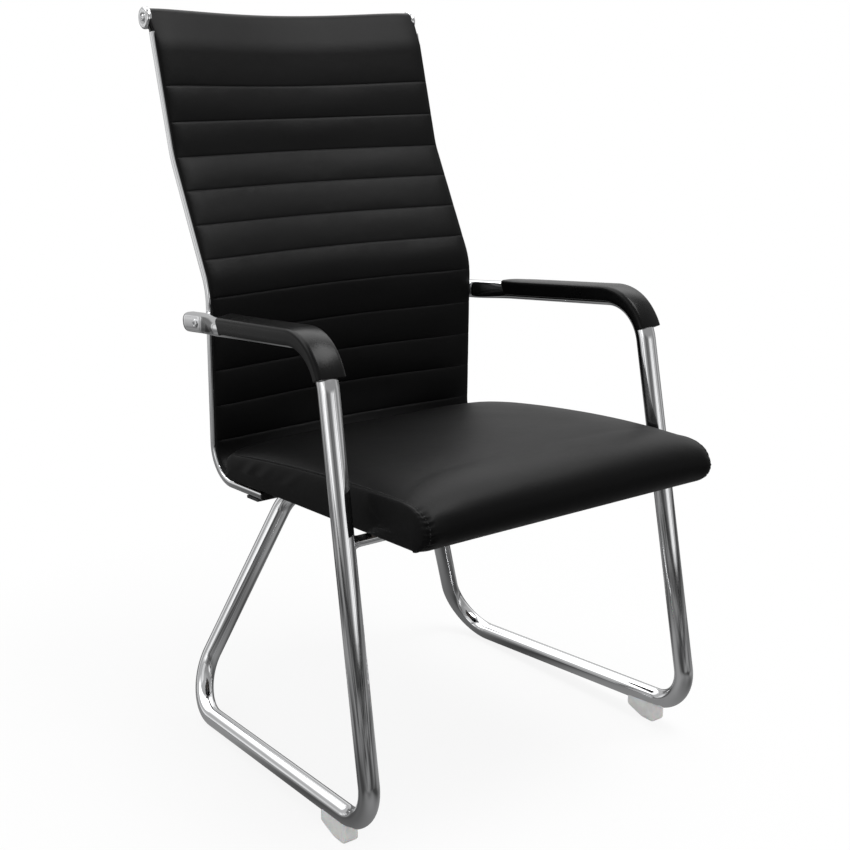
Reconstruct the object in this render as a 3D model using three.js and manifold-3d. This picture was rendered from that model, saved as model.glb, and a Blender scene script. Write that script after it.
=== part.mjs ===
// Sled base visitor chair with a ribbed sling back: one bent tube for each side, built piece by piece.
// Millimetres, +Z up, the front faces -Y and the sitter's left is +X. The origin lies on the floor
// below the middle of the chair.
import * as THREE from "three";
import { mergeVertices } from "three/addons/utils/BufferGeometryUtils.js";
import Module from "manifold-3d";

const wasm = await Module();
wasm.setup();

// Gap kept between pieces that touch.
const clearance = 0.3;

// Half widths of the seat cushion and of the back over its side rails, which the frame goes round.
const seatHalf = 248;
const railIn = 8;
const railOuter = seatHalf - railIn;

// How far the frame's corners stand out from the seat's sides, or in from them below the seat.
const armOut = 25.4;
const frontOut = 40;
const rearOut = 20;
const strutIn = 120.7;
const runIn = 129;
const noseOut = 16.6;

// Round tube of the two side frames, and the corners of its route on the sitter's left. Each corner
// is where two straight stretches would meet, and its radius is that of the bend between them.
const tubeDiameter = 28;
const armNose = { x: railOuter + noseOut, y: 217, z: 616.6 };
const armCorner = { x: seatHalf + armOut, y: -189, z: 653, bend: 68 };
const frontCorner = { x: seatHalf + frontOut, y: -307, z: 41, bend: 56 };
const rearCorner = { x: seatHalf + rearOut, y: 233, z: 8.8, bend: 68 };
const strutCorner = { x: seatHalf - strutIn, y: 140.7, z: 354.4, bend: 55 };
const runFront = { x: seatHalf - runIn, y: -230.4, z: 400.9 };

// The rear end of each arm is pressed flat where it is bolted to the back.
const flatLength = 96;
const flatThickness = 20;
const flatHeight = 29;
const flatSquareShare = 0.55;
const noseEndShare = 0.15;
const noseSlimShare = 0.7;

// Moulded armrest shell over the front stretch of the arm.
const shellWidth = 44;
const shellCover = 3;
const shellSkirt = 6;
const shellCorner = 6;
const shellRear = 140;
const shellFrontTrim = 15;

// Tube that ties the front legs together below the seat.
const crossTubeDiameter = 15;
const crossTubeAxis = { y: -238.2, z: 408.2 };
const crossScrewIn = 78;

// Side rails of the back: a flat section that follows the profile of the back and turns forward
// below the seat. The corners are on the middle line of the section.
const railWidth = 18;
const railDepth = 11;
const railRounding = 3;
const railFoot = { y: 36, z: 391 };
const railHeel = { y: 177, z: 384.8, bend: 50 };
const railWaist = { y: 172.5, z: 667, bend: 90 };
const railShoulder = { y: 264.5, z: 847.5, bend: 150 };
const railHead = { y: 310.6, z: 1017.2 };
const plugThickness = 3;

// Bowed bar at the head of the back, its leather roll and its chrome end caps.
const headBarDiameter = 22;
const headBarIn = 7;
const headBarHalf = railOuter - headBarIn;
const headBarAxis = { y: 332.6, z: 1045 };
const rollDiameter = 27.2;
const capDiameter = 30;
const capThickness = 8;
const bowBack = 20;
const bowDown = 7;
const headScrewDepth = 24;

// Ribbed sling of the back.
const slingIn = 3;
const slingHalf = railOuter - slingIn;
const slingEdge = 3;
const slingSwell = 6.5;
const slingHem = 6.4;
const firstSeamHeight = 947;
const lastSeamHeight = 442.7;
const seamCount = 11;
const slingFoot = 6;

// Columns of the sling from its middle to its edge, and rows of a rib from seam to seam, as shares.
// A rib on a bend of the rail has one row more.
const columnShares = [0.45, 0.8, 0.935, 1];
const ribRowShares = [0, 0.22, 0.78];
const bentRibRowShares = [0, 0.22, 0.5, 0.78];
const headRowShares = [0.25, 0.5, 1];
const ribFlatness = 2.4;
const edgePaddingSlope = 5;
const edgePaddingPower = 0.7;

// Flat bar across the back, bowed to pass behind the sling, with its ends turned to lie against the
// rails.
const spreaderHeight = 25;
const spreaderThickness = 4;
const spreaderBow = 6;
const spreaderLug = 20;

// Seat: a board with an upholstered cushion over it. The cushion stands on a plane that rises
// towards the front.
const seatRear = { y: 138, z: 399.5 };
const seatRiseShare = 0.044;
const seatLength = 506;
const seatEdge = 54.7;
const seatRearLoss = 24;
const seatCrown = 28;
const seatCorner = 14;
const seatFlatShare = 0.875;
const boardThickness = 12;
const boardSide = 7;
const boardRear = 11;
const boardFront = 30;

// Outlines of the cushion from its foot to its crown. Each is drawn in at the sides, front and rear
// by shares of the reach, and stands at a share of the edge's height and one of the crown's.
const seatReach = 170;
const seatLevelShares = [
  { side: 0.012, front: 0.13, rear: 0.035, height: 0, crown: 0 },
  { side: 0.006, front: 0.06, rear: 0.012, height: 0.16, crown: 0 },
  { side: 0, front: 0.012, rear: 0, height: 0.45, crown: 0 },
  { side: 0, front: 0, rear: 0, height: 0.7, crown: 0 },
  { side: 0.012, front: 0.03, rear: 0.012, height: 0.9, crown: 0 },
  { side: 0.035, front: 0.08, rear: 0.035, height: 1, crown: 0.08 },
  { side: 0.095, front: 0.175, rear: 0.08, height: 1, crown: 0.36 },
  { side: 0.21, front: 0.33, rear: 0.175, height: 1, crown: 0.66 },
  { side: 0.47, front: 0.61, rear: 0.41, height: 1, crown: 0.88 },
  { side: 0.94, front: 1, rear: 0.88, height: 1, crown: 1 },
];

// Cross plate below the rails' feet.
const plateWidth = 30;
const plateThickness = 4;
const plateMiddle = 60;

// Soft wedge below each front bend.
const footWidth = 24;
const footRear = -193;
const footKnee = -226;
const footFront = -252;
const footHeel = 9;
const footToe = 6;

// Screws: shank and head of the big arm bolt, and of the smaller screws.
const boltShank = 6;
const boltHead = 13;
const boltHeadHeight = 3.5;
const screwShank = 4;
const screwHead = 9;
const screwHeadHeight = 2.4;
const screwCrownShare = 0.72;

// How finely round shapes are faceted.
const tubeSides = 20;
const headSides = 12;
const headSteps = 10;
const screwSides = 10;
const bendFacet = THREE.MathUtils.degToRad(11);

const chrome = new THREE.MeshStandardMaterial({ color: 0xd9dadc, roughness: 0.08, metalness: 1 });
const leather = new THREE.MeshStandardMaterial({ color: 0x141415, roughness: 0.5, metalness: 0 });
const blackPlastic = new THREE.MeshStandardMaterial({ color: 0x1a1a1b, roughness: 0.4, metalness: 0 });
const paleRubber = new THREE.MeshStandardMaterial({ color: 0xd6d6d4, roughness: 0.55, metalness: 0 });
const plywood = new THREE.MeshStandardMaterial({ color: 0x2a2522, roughness: 0.85, metalness: 0 });
const blackSteel = new THREE.MeshStandardMaterial({ color: 0x202124, roughness: 0.45, metalness: 0.6 });

const chair = new THREE.Group();

function addPiece(name, geometry, material) {
  const mesh = new THREE.Mesh(geometry, material);
  mesh.name = name;
  chair.add(mesh);
  return mesh;
}

// A closed geometry as a solid that can be cut and joined, and back again.
function solidFrom(geometry) {
  const bare = geometry.clone();
  for (const name of Object.keys(bare.attributes)) {
    if (name !== "position") bare.deleteAttribute(name);
  }
  const merged = mergeVertices(bare, 1e-4);
  const vertProperties = new Float32Array(merged.attributes.position.array);
  const triVerts = new Uint32Array(merged.index.array);
  return new wasm.Manifold(new wasm.Mesh({ numProp: 3, vertProperties, triVerts }));
}

function geometryFrom(solid) {
  const mesh = solid.getMesh();
  const geometry = new THREE.BufferGeometry();
  geometry.setAttribute("position", new THREE.BufferAttribute(mesh.vertProperties, 3));
  geometry.setIndex(new THREE.BufferAttribute(mesh.triVerts, 1));
  const flat = geometry.toNonIndexed();
  flat.computeVertexNormals();
  return flat;
}

function cut(geometry, ...tools) {
  let solid = solidFrom(geometry);
  for (const tool of tools) {
    solid = solid.subtract(solidFrom(tool));
  }
  return geometryFrom(solid);
}

function join(geometry, other) {
  return geometryFrom(solidFrom(geometry).add(solidFrom(other)));
}

// The same geometry on the sitter's right, with its faces turned to keep pointing out.
function mirrored(geometry) {
  const copy = geometry.index ? geometry.toNonIndexed() : geometry.clone();
  const position = copy.attributes.position;
  const corner = [new THREE.Vector3(), new THREE.Vector3()];
  for (let i = 0; i < position.count; i++) position.setX(i, -position.getX(i));
  for (let i = 0; i < position.count; i += 3) {
    corner[0].fromBufferAttribute(position, i + 1);
    corner[1].fromBufferAttribute(position, i + 2);
    position.setXYZ(i + 1, ...corner[1]);
    position.setXYZ(i + 2, ...corner[0]);
  }
  copy.computeVertexNormals();
  return copy;
}

function addPair(name, geometry, material) {
  addPiece(`${name}_left`, geometry, material);
  addPiece(`${name}_right`, mirrored(geometry), material);
}

// A route of straight stretches and round bends. Corners are Vector3s, and each corner between the
// ends has a bend radius.
class Route {
  constructor(corners, bends) {
    this.stretches = [];
    let from = corners[0];
    for (let i = 1; i < corners.length - 1; i++) {
      const ahead = corners[i].clone().sub(from).normalize();
      const onward = corners[i + 1].clone().sub(corners[i]).normalize();
      const turn = ahead.angleTo(onward);
      const reach = bends[i - 1] * Math.tan(turn / 2);
      const start = corners[i].clone().addScaledVector(ahead, -reach);
      const middle = onward.clone().sub(ahead).normalize();
      const centre = corners[i].clone().addScaledVector(middle, bends[i - 1] / Math.cos(turn / 2));
      const axis = ahead.clone().cross(onward).normalize();
      this.addLine(from, start);
      this.stretches.push({ arc: true, start, centre, axis, turn, ahead, length: turn * bends[i - 1] });
      from = corners[i].clone().addScaledVector(onward, reach);
    }
    this.addLine(from, corners[corners.length - 1]);
    this.length = this.stretches.reduce((sum, stretch) => sum + stretch.length, 0);
  }

  addLine(start, end) {
    const ahead = end.clone().sub(start);
    const length = ahead.length();
    this.stretches.push({ arc: false, start, ahead: ahead.normalize(), length });
  }

  // Place and direction at a distance along the route.
  at(distance) {
    let left = distance;
    let stretch = this.stretches[0];
    for (const next of this.stretches) {
      stretch = next;
      if (left <= next.length) break;
      if (next !== this.stretches[this.stretches.length - 1]) left -= next.length;
    }
    const point = stretch.start.clone();
    const ahead = stretch.ahead.clone();
    if (stretch.arc) {
      const angle = (left / stretch.length) * stretch.turn;
      point.sub(stretch.centre).applyAxisAngle(stretch.axis, angle).add(stretch.centre);
      ahead.applyAxisAngle(stretch.axis, angle);
    } else {
      point.addScaledVector(ahead, left);
    }
    return { point, ahead };
  }

  // Distances at which the route needs a section, from one distance to another.
  stops(from = 0, to = this.length, facet = bendFacet) {
    const found = [from];
    let sum = 0;
    for (const stretch of this.stretches) {
      const steps = stretch.arc ? Math.ceil(stretch.turn / facet) : 1;
      for (let i = 1; i <= steps; i++) {
        const stop = sum + (stretch.length * i) / steps;
        if (stop > from + clearance && stop < to - clearance) found.push(stop);
      }
      sum += stretch.length;
    }
    found.push(to);
    return found;
  }

  // Distance at which the route first passes a height, going up or down.
  distanceAtHeight(height) {
    let low = 0;
    let high = this.length;
    const rising = this.at(high).point.z > this.at(low).point.z;
    while (high - low > clearance / 100) {
      const middle = (low + high) / 2;
      if (this.at(middle).point.z < height === rising) low = middle;
      else high = middle;
    }
    return low;
  }
}

// Carries a section along a route. The section's x stays as close to the chair's x as it can, and
// its y points up on a stretch that runs forward.
class Carrier extends THREE.Curve {
  constructor(route, stops) {
    super();
    this.places = stops.map((stop) => route.at(stop));
  }

  getSpacedPoints() {
    return this.places.map((place) => place.point);
  }

  computeFrenetFrames() {
    const tangents = this.places.map((place) => place.ahead);
    const normals = [];
    const binormals = [];
    let across = new THREE.Vector3(1, 0, 0);
    for (const tangent of tangents) {
      across = across.clone().addScaledVector(tangent, -across.dot(tangent)).normalize();
      normals.push(across);
      binormals.push(tangent.clone().cross(across));
    }
    return { tangents, normals, binormals };
  }
}

// An arc of a section gets twice `arcSteps` sides.
function sweep(shape, route, stops, arcSteps) {
  const path = new Carrier(route, stops);
  const steps = stops.length - 1;
  return new THREE.ExtrudeGeometry(shape, { extrudePath: path, steps, curveSegments: arcSteps });
}

function circleShape(radius) {
  const shape = new THREE.Shape();
  shape.absarc(0, 0, radius, 0, Math.PI * 2, false);
  return shape;
}

function roundedRectangle(halfX, halfY, radius) {
  const shape = new THREE.Shape();
  shape.moveTo(-halfX + radius, -halfY);
  shape.lineTo(halfX - radius, -halfY);
  shape.absarc(halfX - radius, -halfY + radius, radius, -Math.PI / 2, 0, false);
  shape.absarc(halfX - radius, halfY - radius, radius, 0, Math.PI / 2, false);
  shape.absarc(-halfX + radius, halfY - radius, radius, Math.PI / 2, Math.PI, false);
  shape.absarc(-halfX + radius, -halfY + radius, radius, Math.PI, Math.PI * 1.5, false);
  return shape;
}

// A round bar or bore between two points.
function rod(diameter, from, to, sides = screwSides) {
  const direction = to.clone().sub(from);
  const geometry = new THREE.CylinderGeometry(diameter / 2, diameter / 2, direction.length(), sides);
  const up = new THREE.Vector3(0, 1, 0);
  geometry.applyQuaternion(new THREE.Quaternion().setFromUnitVectors(up, direction.normalize()));
  return geometry.translate(...from.clone().add(to).multiplyScalar(0.5));
}

// A pan head screw as one turned shape: its head stands at `seat`, and its shank runs `length` the
// way `inward` points.
function screw(shank, head, headHeight, length, seat, inward) {
  const outline = [
    new THREE.Vector2(0, length),
    new THREE.Vector2(shank / 2, length),
    new THREE.Vector2(shank / 2, 0),
    new THREE.Vector2(head / 2, 0),
    new THREE.Vector2(head / 2, -headHeight / 2),
    new THREE.Vector2((head / 2) * screwCrownShare, -headHeight),
    new THREE.Vector2(0, -headHeight),
  ].reverse();
  const geometry = new THREE.LatheGeometry(outline, screwSides);
  const up = new THREE.Vector3(0, 1, 0);
  geometry.applyQuaternion(new THREE.Quaternion().setFromUnitVectors(up, inward.clone().normalize()));
  return geometry.translate(...seat);
}

const vector = ({ x = 0, y = 0, z = 0 }) => new THREE.Vector3(x, y, z);
const tubeRadius = tubeDiameter / 2;

const frameRoute = new Route(
  [armNose, armCorner, frontCorner, rearCorner, strutCorner, runFront].map(vector),
  [armCorner, frontCorner, rearCorner, strutCorner].map((corner) => corner.bend),
);
const railRoute = new Route(
  [railFoot, railHeel, railWaist, railShoulder, railHead].map(vector),
  [railHeel, railWaist, railShoulder].map((corner) => corner.bend),
);

// Distances from the nose of an arm at which its pressed end needs a section: close together round
// the nose, and evenly where the flat widens out to the round tube.
function flatStops() {
  const noseSteps = 5;
  const blendSteps = 6;
  const stops = [];
  for (let i = 0; i < noseSteps; i++) {
    stops.push((1 - Math.cos((i / noseSteps) * (Math.PI / 2))) * (flatHeight / 2));
  }
  for (let i = 0; i < blendSteps; i++) {
    stops.push(flatLength / 2 + (i / blendSteps) * (flatLength / 2));
  }
  return [...stops.slice(0, noseSteps), flatHeight / 2, ...stops.slice(noseSteps)];
}

// Presses the end of an arm flat: its round sections turn into tall, flat-sided ones that lie
// against the rail, and the last ones shrink to a round nose.
function pressFlat(geometry) {
  const position = geometry.attributes.position;
  const nose = vector(armNose);
  const ahead = frameRoute.at(0).ahead;
  const up = new THREE.Vector3(1, 0, 0).cross(ahead).normalize().negate();
  const noseRadius = flatHeight / 2;
  const flatMiddle = railOuter + clearance + flatThickness / 2;
  const place = new THREE.Vector3();
  const offset = new THREE.Vector3();
  for (let i = 0; i < position.count; i++) {
    place.fromBufferAttribute(position, i);
    const along = place.clone().sub(nose).dot(ahead);
    if (along > flatLength || place.z < nose.z - tubeDiameter) continue;
    const axis = nose.clone().addScaledVector(ahead, along);
    offset.copy(place).sub(axis);
    const pressed = THREE.MathUtils.smoothstep(flatLength - along, 0, flatLength / 2);
    const round = THREE.MathUtils.lerp(1, flatSquareShare, pressed);
    const squared = (value) => Math.sign(value) * Math.abs(value) ** round;
    const past = Math.max(0, 1 - along / noseRadius);
    const height = THREE.MathUtils.lerp(tubeRadius, noseRadius, pressed);
    const width = THREE.MathUtils.lerp(tubeRadius, flatThickness / 2, pressed);
    const taper = Math.max(noseEndShare, Math.sqrt(Math.max(0, 1 - past ** 2)));
    const slim = THREE.MathUtils.lerp(1, noseSlimShare, past ** 3);
    const x = THREE.MathUtils.lerp(axis.x, flatMiddle, pressed);
    const lift = squared(offset.dot(up) / tubeRadius) * height * taper;
    const side = squared(offset.x / tubeRadius) * width * slim;
    position.setXYZ(i, x + side, axis.y + up.y * lift, axis.z + up.z * lift);
  }
  return geometry;
}

// The arm is bolted through the rail where it crosses the middle of the rail.
function armBoltPlace() {
  const nose = vector(armNose);
  const ahead = frameRoute.at(0).ahead;
  const rail = railRoute.at(railRoute.distanceAtHeight(armNose.z)).point;
  const place = nose.addScaledVector(ahead, (rail.y - nose.y) / ahead.y);
  place.x = railOuter + clearance;
  return place;
}

// One side of the frame in a single tube: arm, front leg, runner, rear strut and seat bearer.
function sideFrame() {
  const stops = [...flatStops(), ...frameRoute.stops(flatLength)];
  const tube = pressFlat(sweep(circleShape(tubeRadius), frameRoute, stops, tubeSides / 2));
  const place = armBoltPlace();
  const reach = tubeDiameter * 2;
  const bore = rod(
    boltShank + clearance * 2,
    new THREE.Vector3(place.x - reach, place.y, place.z),
    new THREE.Vector3(place.x + reach, place.y, place.z),
  );
  return cut(tube, bore);
}

// The bolt goes through the arm and the rail, and its end is held by the lug of the spreader.
function armBolt() {
  const place = armBoltPlace();
  const outer = place.x + flatThickness + clearance;
  const length = outer - (railOuter - railWidth) + spreaderThickness * 1.5;
  return screw(
    boltShank,
    boltHead,
    boltHeadHeight,
    length,
    new THREE.Vector3(outer, place.y, place.z),
    new THREE.Vector3(-1, 0, 0),
  );
}

// Section of the armrest shell: a rounded block with a channel for the tube, open below.
function shellSection() {
  const half = shellWidth / 2;
  const top = tubeRadius + shellCover;
  const channel = tubeRadius + clearance * 2;
  const mouth = Math.asin(shellSkirt / channel);
  const shape = new THREE.Shape();
  shape.moveTo(half - shellCorner / 3, -shellSkirt);
  shape.lineTo(half, -shellSkirt + shellCorner / 3);
  shape.lineTo(half, top - shellCorner);
  shape.absarc(half - shellCorner, top - shellCorner, shellCorner, 0, Math.PI / 2, false);
  shape.absarc(-half + shellCorner, top - shellCorner, shellCorner, Math.PI / 2, Math.PI, false);
  shape.lineTo(-half, -shellSkirt + shellCorner / 3);
  shape.lineTo(-half + shellCorner / 3, -shellSkirt);
  shape.lineTo(-channel * Math.cos(mouth), -shellSkirt);
  shape.absarc(0, 0, channel, Math.PI + mouth, -mouth, true);
  return shape;
}

function armShell() {
  const bendLength = frameRoute.stretches[0].length + frameRoute.stretches[1].length;
  const stops = frameRoute.stops(shellRear, bendLength - shellFrontTrim);
  return sweep(shellSection(), frameRoute, stops, 5);
}

// Tube between the front legs, hollowed at both ends to sit against them.
function frontCrossTube() {
  const legX = THREE.MathUtils.mapLinear(
    crossTubeAxis.z, armCorner.z, frontCorner.z, armCorner.x, frontCorner.x,
  );
  const ends = [-legX, legX].map((x) => new THREE.Vector3(x, crossTubeAxis.y, crossTubeAxis.z));
  const tube = rod(crossTubeDiameter, ends[0], ends[1], tubeSides);
  const leg = rod(
    tubeDiameter + clearance * 2, vector(armCorner), vector(frontCorner), tubeSides * 2,
  );
  const { x, y } = frontScrewPlace();
  const reach = crossTubeDiameter;
  const bore = rod(
    screwShank + clearance * 2,
    new THREE.Vector3(x, y, crossTubeAxis.z - reach),
    new THREE.Vector3(x, y, crossTubeAxis.z + reach),
  );
  return cut(tube, leg, mirrored(leg), bore, mirrored(bore));
}

// Where a screw goes up through a rail's foot and the plate below it.
function rearScrewPlace() {
  return new THREE.Vector3(railOuter - railWidth / 2, plateMiddle, 0);
}

function onSeatPlane(x, y, below) {
  return new THREE.Vector3(x, y, seatRear.z + (seatRear.y - y) * seatRiseShare - below);
}

const plateTop = railDepth / 2 + (onSeatPlane(0, plateMiddle, 0).z - railAt(plateMiddle)) + clearance;

function railAt(y) {
  return railFoot.z - ((y - railFoot.y) * (railFoot.z - railHeel.z)) / (railHeel.y - railFoot.y);
}

function screwBore(place) {
  const reach = seatEdge;
  return rod(
    screwShank + clearance * 2,
    new THREE.Vector3(place.x, place.y, railAt(plateMiddle) - reach),
    new THREE.Vector3(place.x, place.y, railAt(plateMiddle) + reach),
  );
}

function backRail() {
  const section = roundedRectangle(railWidth / 2, railDepth / 2, railRounding);
  const stops = railRoute.stops(0, railRoute.length, bendFacet / 2);
  const rail = sweep(section, railRoute, stops, 1).translate(railOuter - railWidth / 2, 0, 0);
  const place = armBoltPlace();
  const armBore = rod(
    boltShank + clearance * 2,
    new THREE.Vector3(railOuter - railWidth * 2, place.y, place.z),
    new THREE.Vector3(railOuter + railWidth, place.y, place.z),
  );
  return cut(rail, armBore, screwBore(rearScrewPlace()));
}

function railPlug() {
  const foot = railRoute.at(0);
  const section = roundedRectangle(railWidth / 2, railDepth / 2, railRounding);
  const from = foot.point.clone().addScaledVector(foot.ahead, -clearance - plugThickness);
  const to = foot.point.clone().addScaledVector(foot.ahead, -clearance);
  const route = new Route([from, to], []);
  return sweep(section, route, [0, route.length], 1).translate(railOuter - railWidth / 2, 0, 0);
}

// Share of the full bow at a distance from the chair's middle plane. There is none at the rails.
function bowShare(x) {
  const hollow = railOuter - railWidth - clearance * 2;
  return Math.max(0, 1 - (x / hollow) ** 2) ** 1.5;
}

// Middle line of the head bar, from the sitter's left to right: it bows back and down.
class HeadLine extends THREE.Curve {
  constructor(half) {
    super();
    this.half = half;
  }

  getPoint(t) {
    const x = this.half * (1 - 2 * t);
    const share = bowShare(x);
    return new THREE.Vector3(x, headBarAxis.y + bowBack * share, headBarAxis.z - bowDown * share);
  }
}

function headRod(diameter, half) {
  return new THREE.ExtrudeGeometry(circleShape(diameter / 2), {
    extrudePath: new HeadLine(half),
    steps: headSteps,
    curveSegments: headSides / 2,
  });
}

// The bar's end on the sitter's left, and the way out of it.
const headEnd = new THREE.Vector3(headBarHalf, headBarAxis.y, headBarAxis.z);
const outward = new THREE.Vector3(1, 0, 0);

function headBar() {
  const bore = rod(
    screwShank + clearance * 2,
    headEnd.clone().addScaledVector(outward, capThickness),
    headEnd.clone().addScaledVector(outward, -headScrewDepth - clearance),
  );
  return cut(headRod(headBarDiameter, headBarHalf), bore, mirrored(bore));
}

function headCap() {
  const radius = capDiameter / 2;
  const outline = [
    new THREE.Vector2(screwShank / 2 + clearance, 0),
    new THREE.Vector2(radius - capThickness / 8, 0),
    new THREE.Vector2(radius, capThickness / 6),
    new THREE.Vector2(radius, capThickness * 0.7),
    new THREE.Vector2(radius - capThickness / 6, capThickness * 0.92),
    new THREE.Vector2(radius - capThickness / 2, capThickness),
    new THREE.Vector2(screwShank / 2 + clearance, capThickness),
    new THREE.Vector2(screwShank / 2 + clearance, 0),
  ];
  const geometry = new THREE.LatheGeometry(outline, tubeSides);
  geometry.rotateZ(-Math.PI / 2);
  return geometry.translate(...headEnd.clone().addScaledVector(outward, clearance));
}

function headCapScrew() {
  const seat = headEnd.clone().addScaledVector(outward, capThickness + clearance * 2);
  const length = capThickness + headScrewDepth;
  return screw(screwShank, screwHead, screwHeadHeight, length, seat, outward.clone().negate());
}

// Where the sling leaves the head of a rail, and where it meets its roll.
const slingAtHead = slingBehind(railRoute.length);
const slingAtRoll = new THREE.Vector3(0, headBarAxis.y - headBarDiameter * 0.4, headBarAxis.z - slingEdge);

// Black block between the head of a rail and the head bar, cut to go round the roll and cap. Its
// front face follows the sling.
function railBracket() {
  const head = railRoute.at(railRoute.length);
  const end = head.point.clone().addScaledVector(head.ahead, clearance);
  const backward = new THREE.Vector3(0, head.ahead.z, -head.ahead.y);
  const along = slingAtRoll.clone().sub(slingAtHead).normalize();
  const clear = new THREE.Vector3(0, along.z, -along.y).multiplyScalar(clearance * 2);
  const rear = end.clone().addScaledVector(backward, railDepth / 2);
  const corners = [
    slingAtHead.clone().addScaledVector(along, railDepth / 8).add(clear),
    rear,
    rear.clone().addScaledVector(head.ahead, capDiameter / 2),
    slingAtRoll.clone().add(clear),
  ];
  const shape = new THREE.Shape(corners.map(({ y, z }) => new THREE.Vector2(y, z)));
  const width = railWidth - railRounding;
  const block = new THREE.ExtrudeGeometry(shape, { depth: width, bevelEnabled: false });
  block.rotateX(Math.PI / 2);
  block.rotateZ(Math.PI / 2);
  block.translate(railOuter - railWidth / 2 - width / 2, 0, 0);
  const inner = headEnd.clone().addScaledVector(outward, -capDiameter);
  const outer = headEnd.clone().addScaledVector(outward, capDiameter);
  return cut(block, rod(capDiameter + clearance * 2, inner, outer, tubeSides * 2));
}

// Thickness that the padding adds between two seams, as a share of its fullest.
function ribSwell(share) {
  return 1 - Math.abs(share * 2 - 1) ** ribFlatness;
}

// The way that the back faces, at right angles to the rail.
function facing(ahead) {
  return new THREE.Vector3(0, -ahead.z, ahead.y);
}

// Back face of the sling where it lies against the rail, at a distance along it.
function slingBehind(distance) {
  const { point, ahead } = railRoute.at(distance);
  return point.clone().addScaledVector(facing(ahead), railDepth / 2 + clearance * 2);
}

// Rows of the sling from its foot to the heads of the rails: a distance along the rail and the
// padding's share of its fullest there.
function slingRows() {
  const firstSeam = railRoute.distanceAtHeight(firstSeamHeight);
  const lastSeam = railRoute.distanceAtHeight(lastSeamHeight);
  const ribPitch = (firstSeam - lastSeam) / (seamCount - 1);
  const heelRows = 8;
  const rows = [];
  for (let i = 0; i < heelRows; i++) {
    const distance = THREE.MathUtils.lerp(slingFoot, lastSeam, i / heelRows);
    const clearOfSeat = railHeel.z + railDepth;
    const risen = THREE.MathUtils.smoothstep(
      railRoute.at(distance).point.z, clearOfSeat, clearOfSeat + seatEdge,
    );
    rows.push({ distance, swell: ribSwell(0.5 + i / heelRows / 2) * risen });
  }
  for (let rib = 0; rib < seamCount - 1; rib++) {
    const seam = lastSeam + ribPitch * rib;
    const turn = railRoute.at(seam).ahead.angleTo(railRoute.at(seam + ribPitch).ahead);
    const shares = turn > bendFacet / 2 ? bentRibRowShares : ribRowShares;
    for (const share of shares) {
      rows.push({ distance: seam + ribPitch * share, swell: ribSwell(share) });
    }
  }
  rows.push({ distance: firstSeam, swell: 0 });
  for (const share of headRowShares) {
    const distance = THREE.MathUtils.lerp(firstSeam, railRoute.length, share);
    rows.push({ distance, swell: ribSwell(share / 2) * (1 - share / 2) });
  }
  return rows;
}

// The sling as a closed grid: front skin, back skin and a strip round the edge.
function slingBody() {
  const columns = [...columnShares.map((share) => -share).reverse(), 0, ...columnShares];
  const bendEnd = railRoute.stretches[0].length + railRoute.stretches[1].length;
  const hemEnd = railHeel.y - railHeel.bend;
  const front = [];
  const back = [];
  for (const { distance, swell } of slingRows()) {
    const rail = railRoute.at(distance);
    const forward = facing(rail.ahead);
    const risen = THREE.MathUtils.smoothstep(distance, bendEnd - railHeel.bend, bendEnd + railHeel.bend);
    const sunk = THREE.MathUtils.smoothstep(rail.point.z, railShoulder.z, railHead.z);
    const hem = 1 - THREE.MathUtils.smoothstep(rail.point.y, hemEnd - seatCorner * 2, hemEnd);
    for (const column of columns) {
      const x = column * slingHalf;
      const bow = bowShare(x) * risen;
      const padded = Math.min(1, (1 - Math.abs(column)) * edgePaddingSlope) ** edgePaddingPower;
      const behind = slingBehind(distance);
      behind.set(x, behind.y + bow * bowBack, behind.z - bow * bowDown * sunk);
      const plain = THREE.MathUtils.lerp(slingEdge, slingHem, hem);
      back.push(behind);
      front.push(behind.clone().addScaledVector(forward, plain + slingSwell * swell * padded));
    }
  }
  for (const column of columns) {
    const x = column * (headBarHalf - clearance * 2);
    const bow = bowShare(x);
    const behind = slingAtRoll.clone();
    behind.set(x, behind.y + bow * bowBack, behind.z - bow * bowDown);
    back.push(behind);
    front.push(new THREE.Vector3(x, behind.y - slingEdge, behind.z + slingEdge));
  }
  return closedGrid(front, back, columns.length);
}

// Two skins of the same grid, joined by a strip round their edge.
function closedGrid(front, back, width) {
  const height = front.length / width;
  const points = [...front, ...back];
  const offset = front.length;
  const faces = [];
  const quad = (a, b, c, d) => faces.push(a, b, c, a, c, d);
  for (let row = 0; row < height - 1; row++) {
    for (let column = 0; column < width - 1; column++) {
      const corner = row * width + column;
      quad(corner, corner + 1, corner + width + 1, corner + width);
      quad(offset + corner, offset + corner + width, offset + corner + width + 1, offset + corner + 1);
    }
    const left = row * width;
    const right = left + width - 1;
    quad(offset + left, left, left + width, offset + left + width);
    quad(right, offset + right, offset + right + width, right + width);
  }
  const last = (height - 1) * width;
  for (let column = 0; column < width - 1; column++) {
    quad(offset + column, offset + column + 1, column + 1, column);
    quad(last + column, last + column + 1, offset + last + column + 1, offset + last + column);
  }
  const geometry = new THREE.BufferGeometry().setFromPoints(points);
  geometry.setIndex(faces);
  return geometry;
}

// The sling with its leather roll round the head bar.
function backSling() {
  const roll = headRod(rollDiameter, headBarHalf - clearance);
  const barRoom = headRod(headBarDiameter + clearance * 2, headBarHalf + clearance);
  const bore = screwBore(rearScrewPlace());
  return cut(join(slingBody(), roll), barRoom, bore, mirrored(bore));
}

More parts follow.
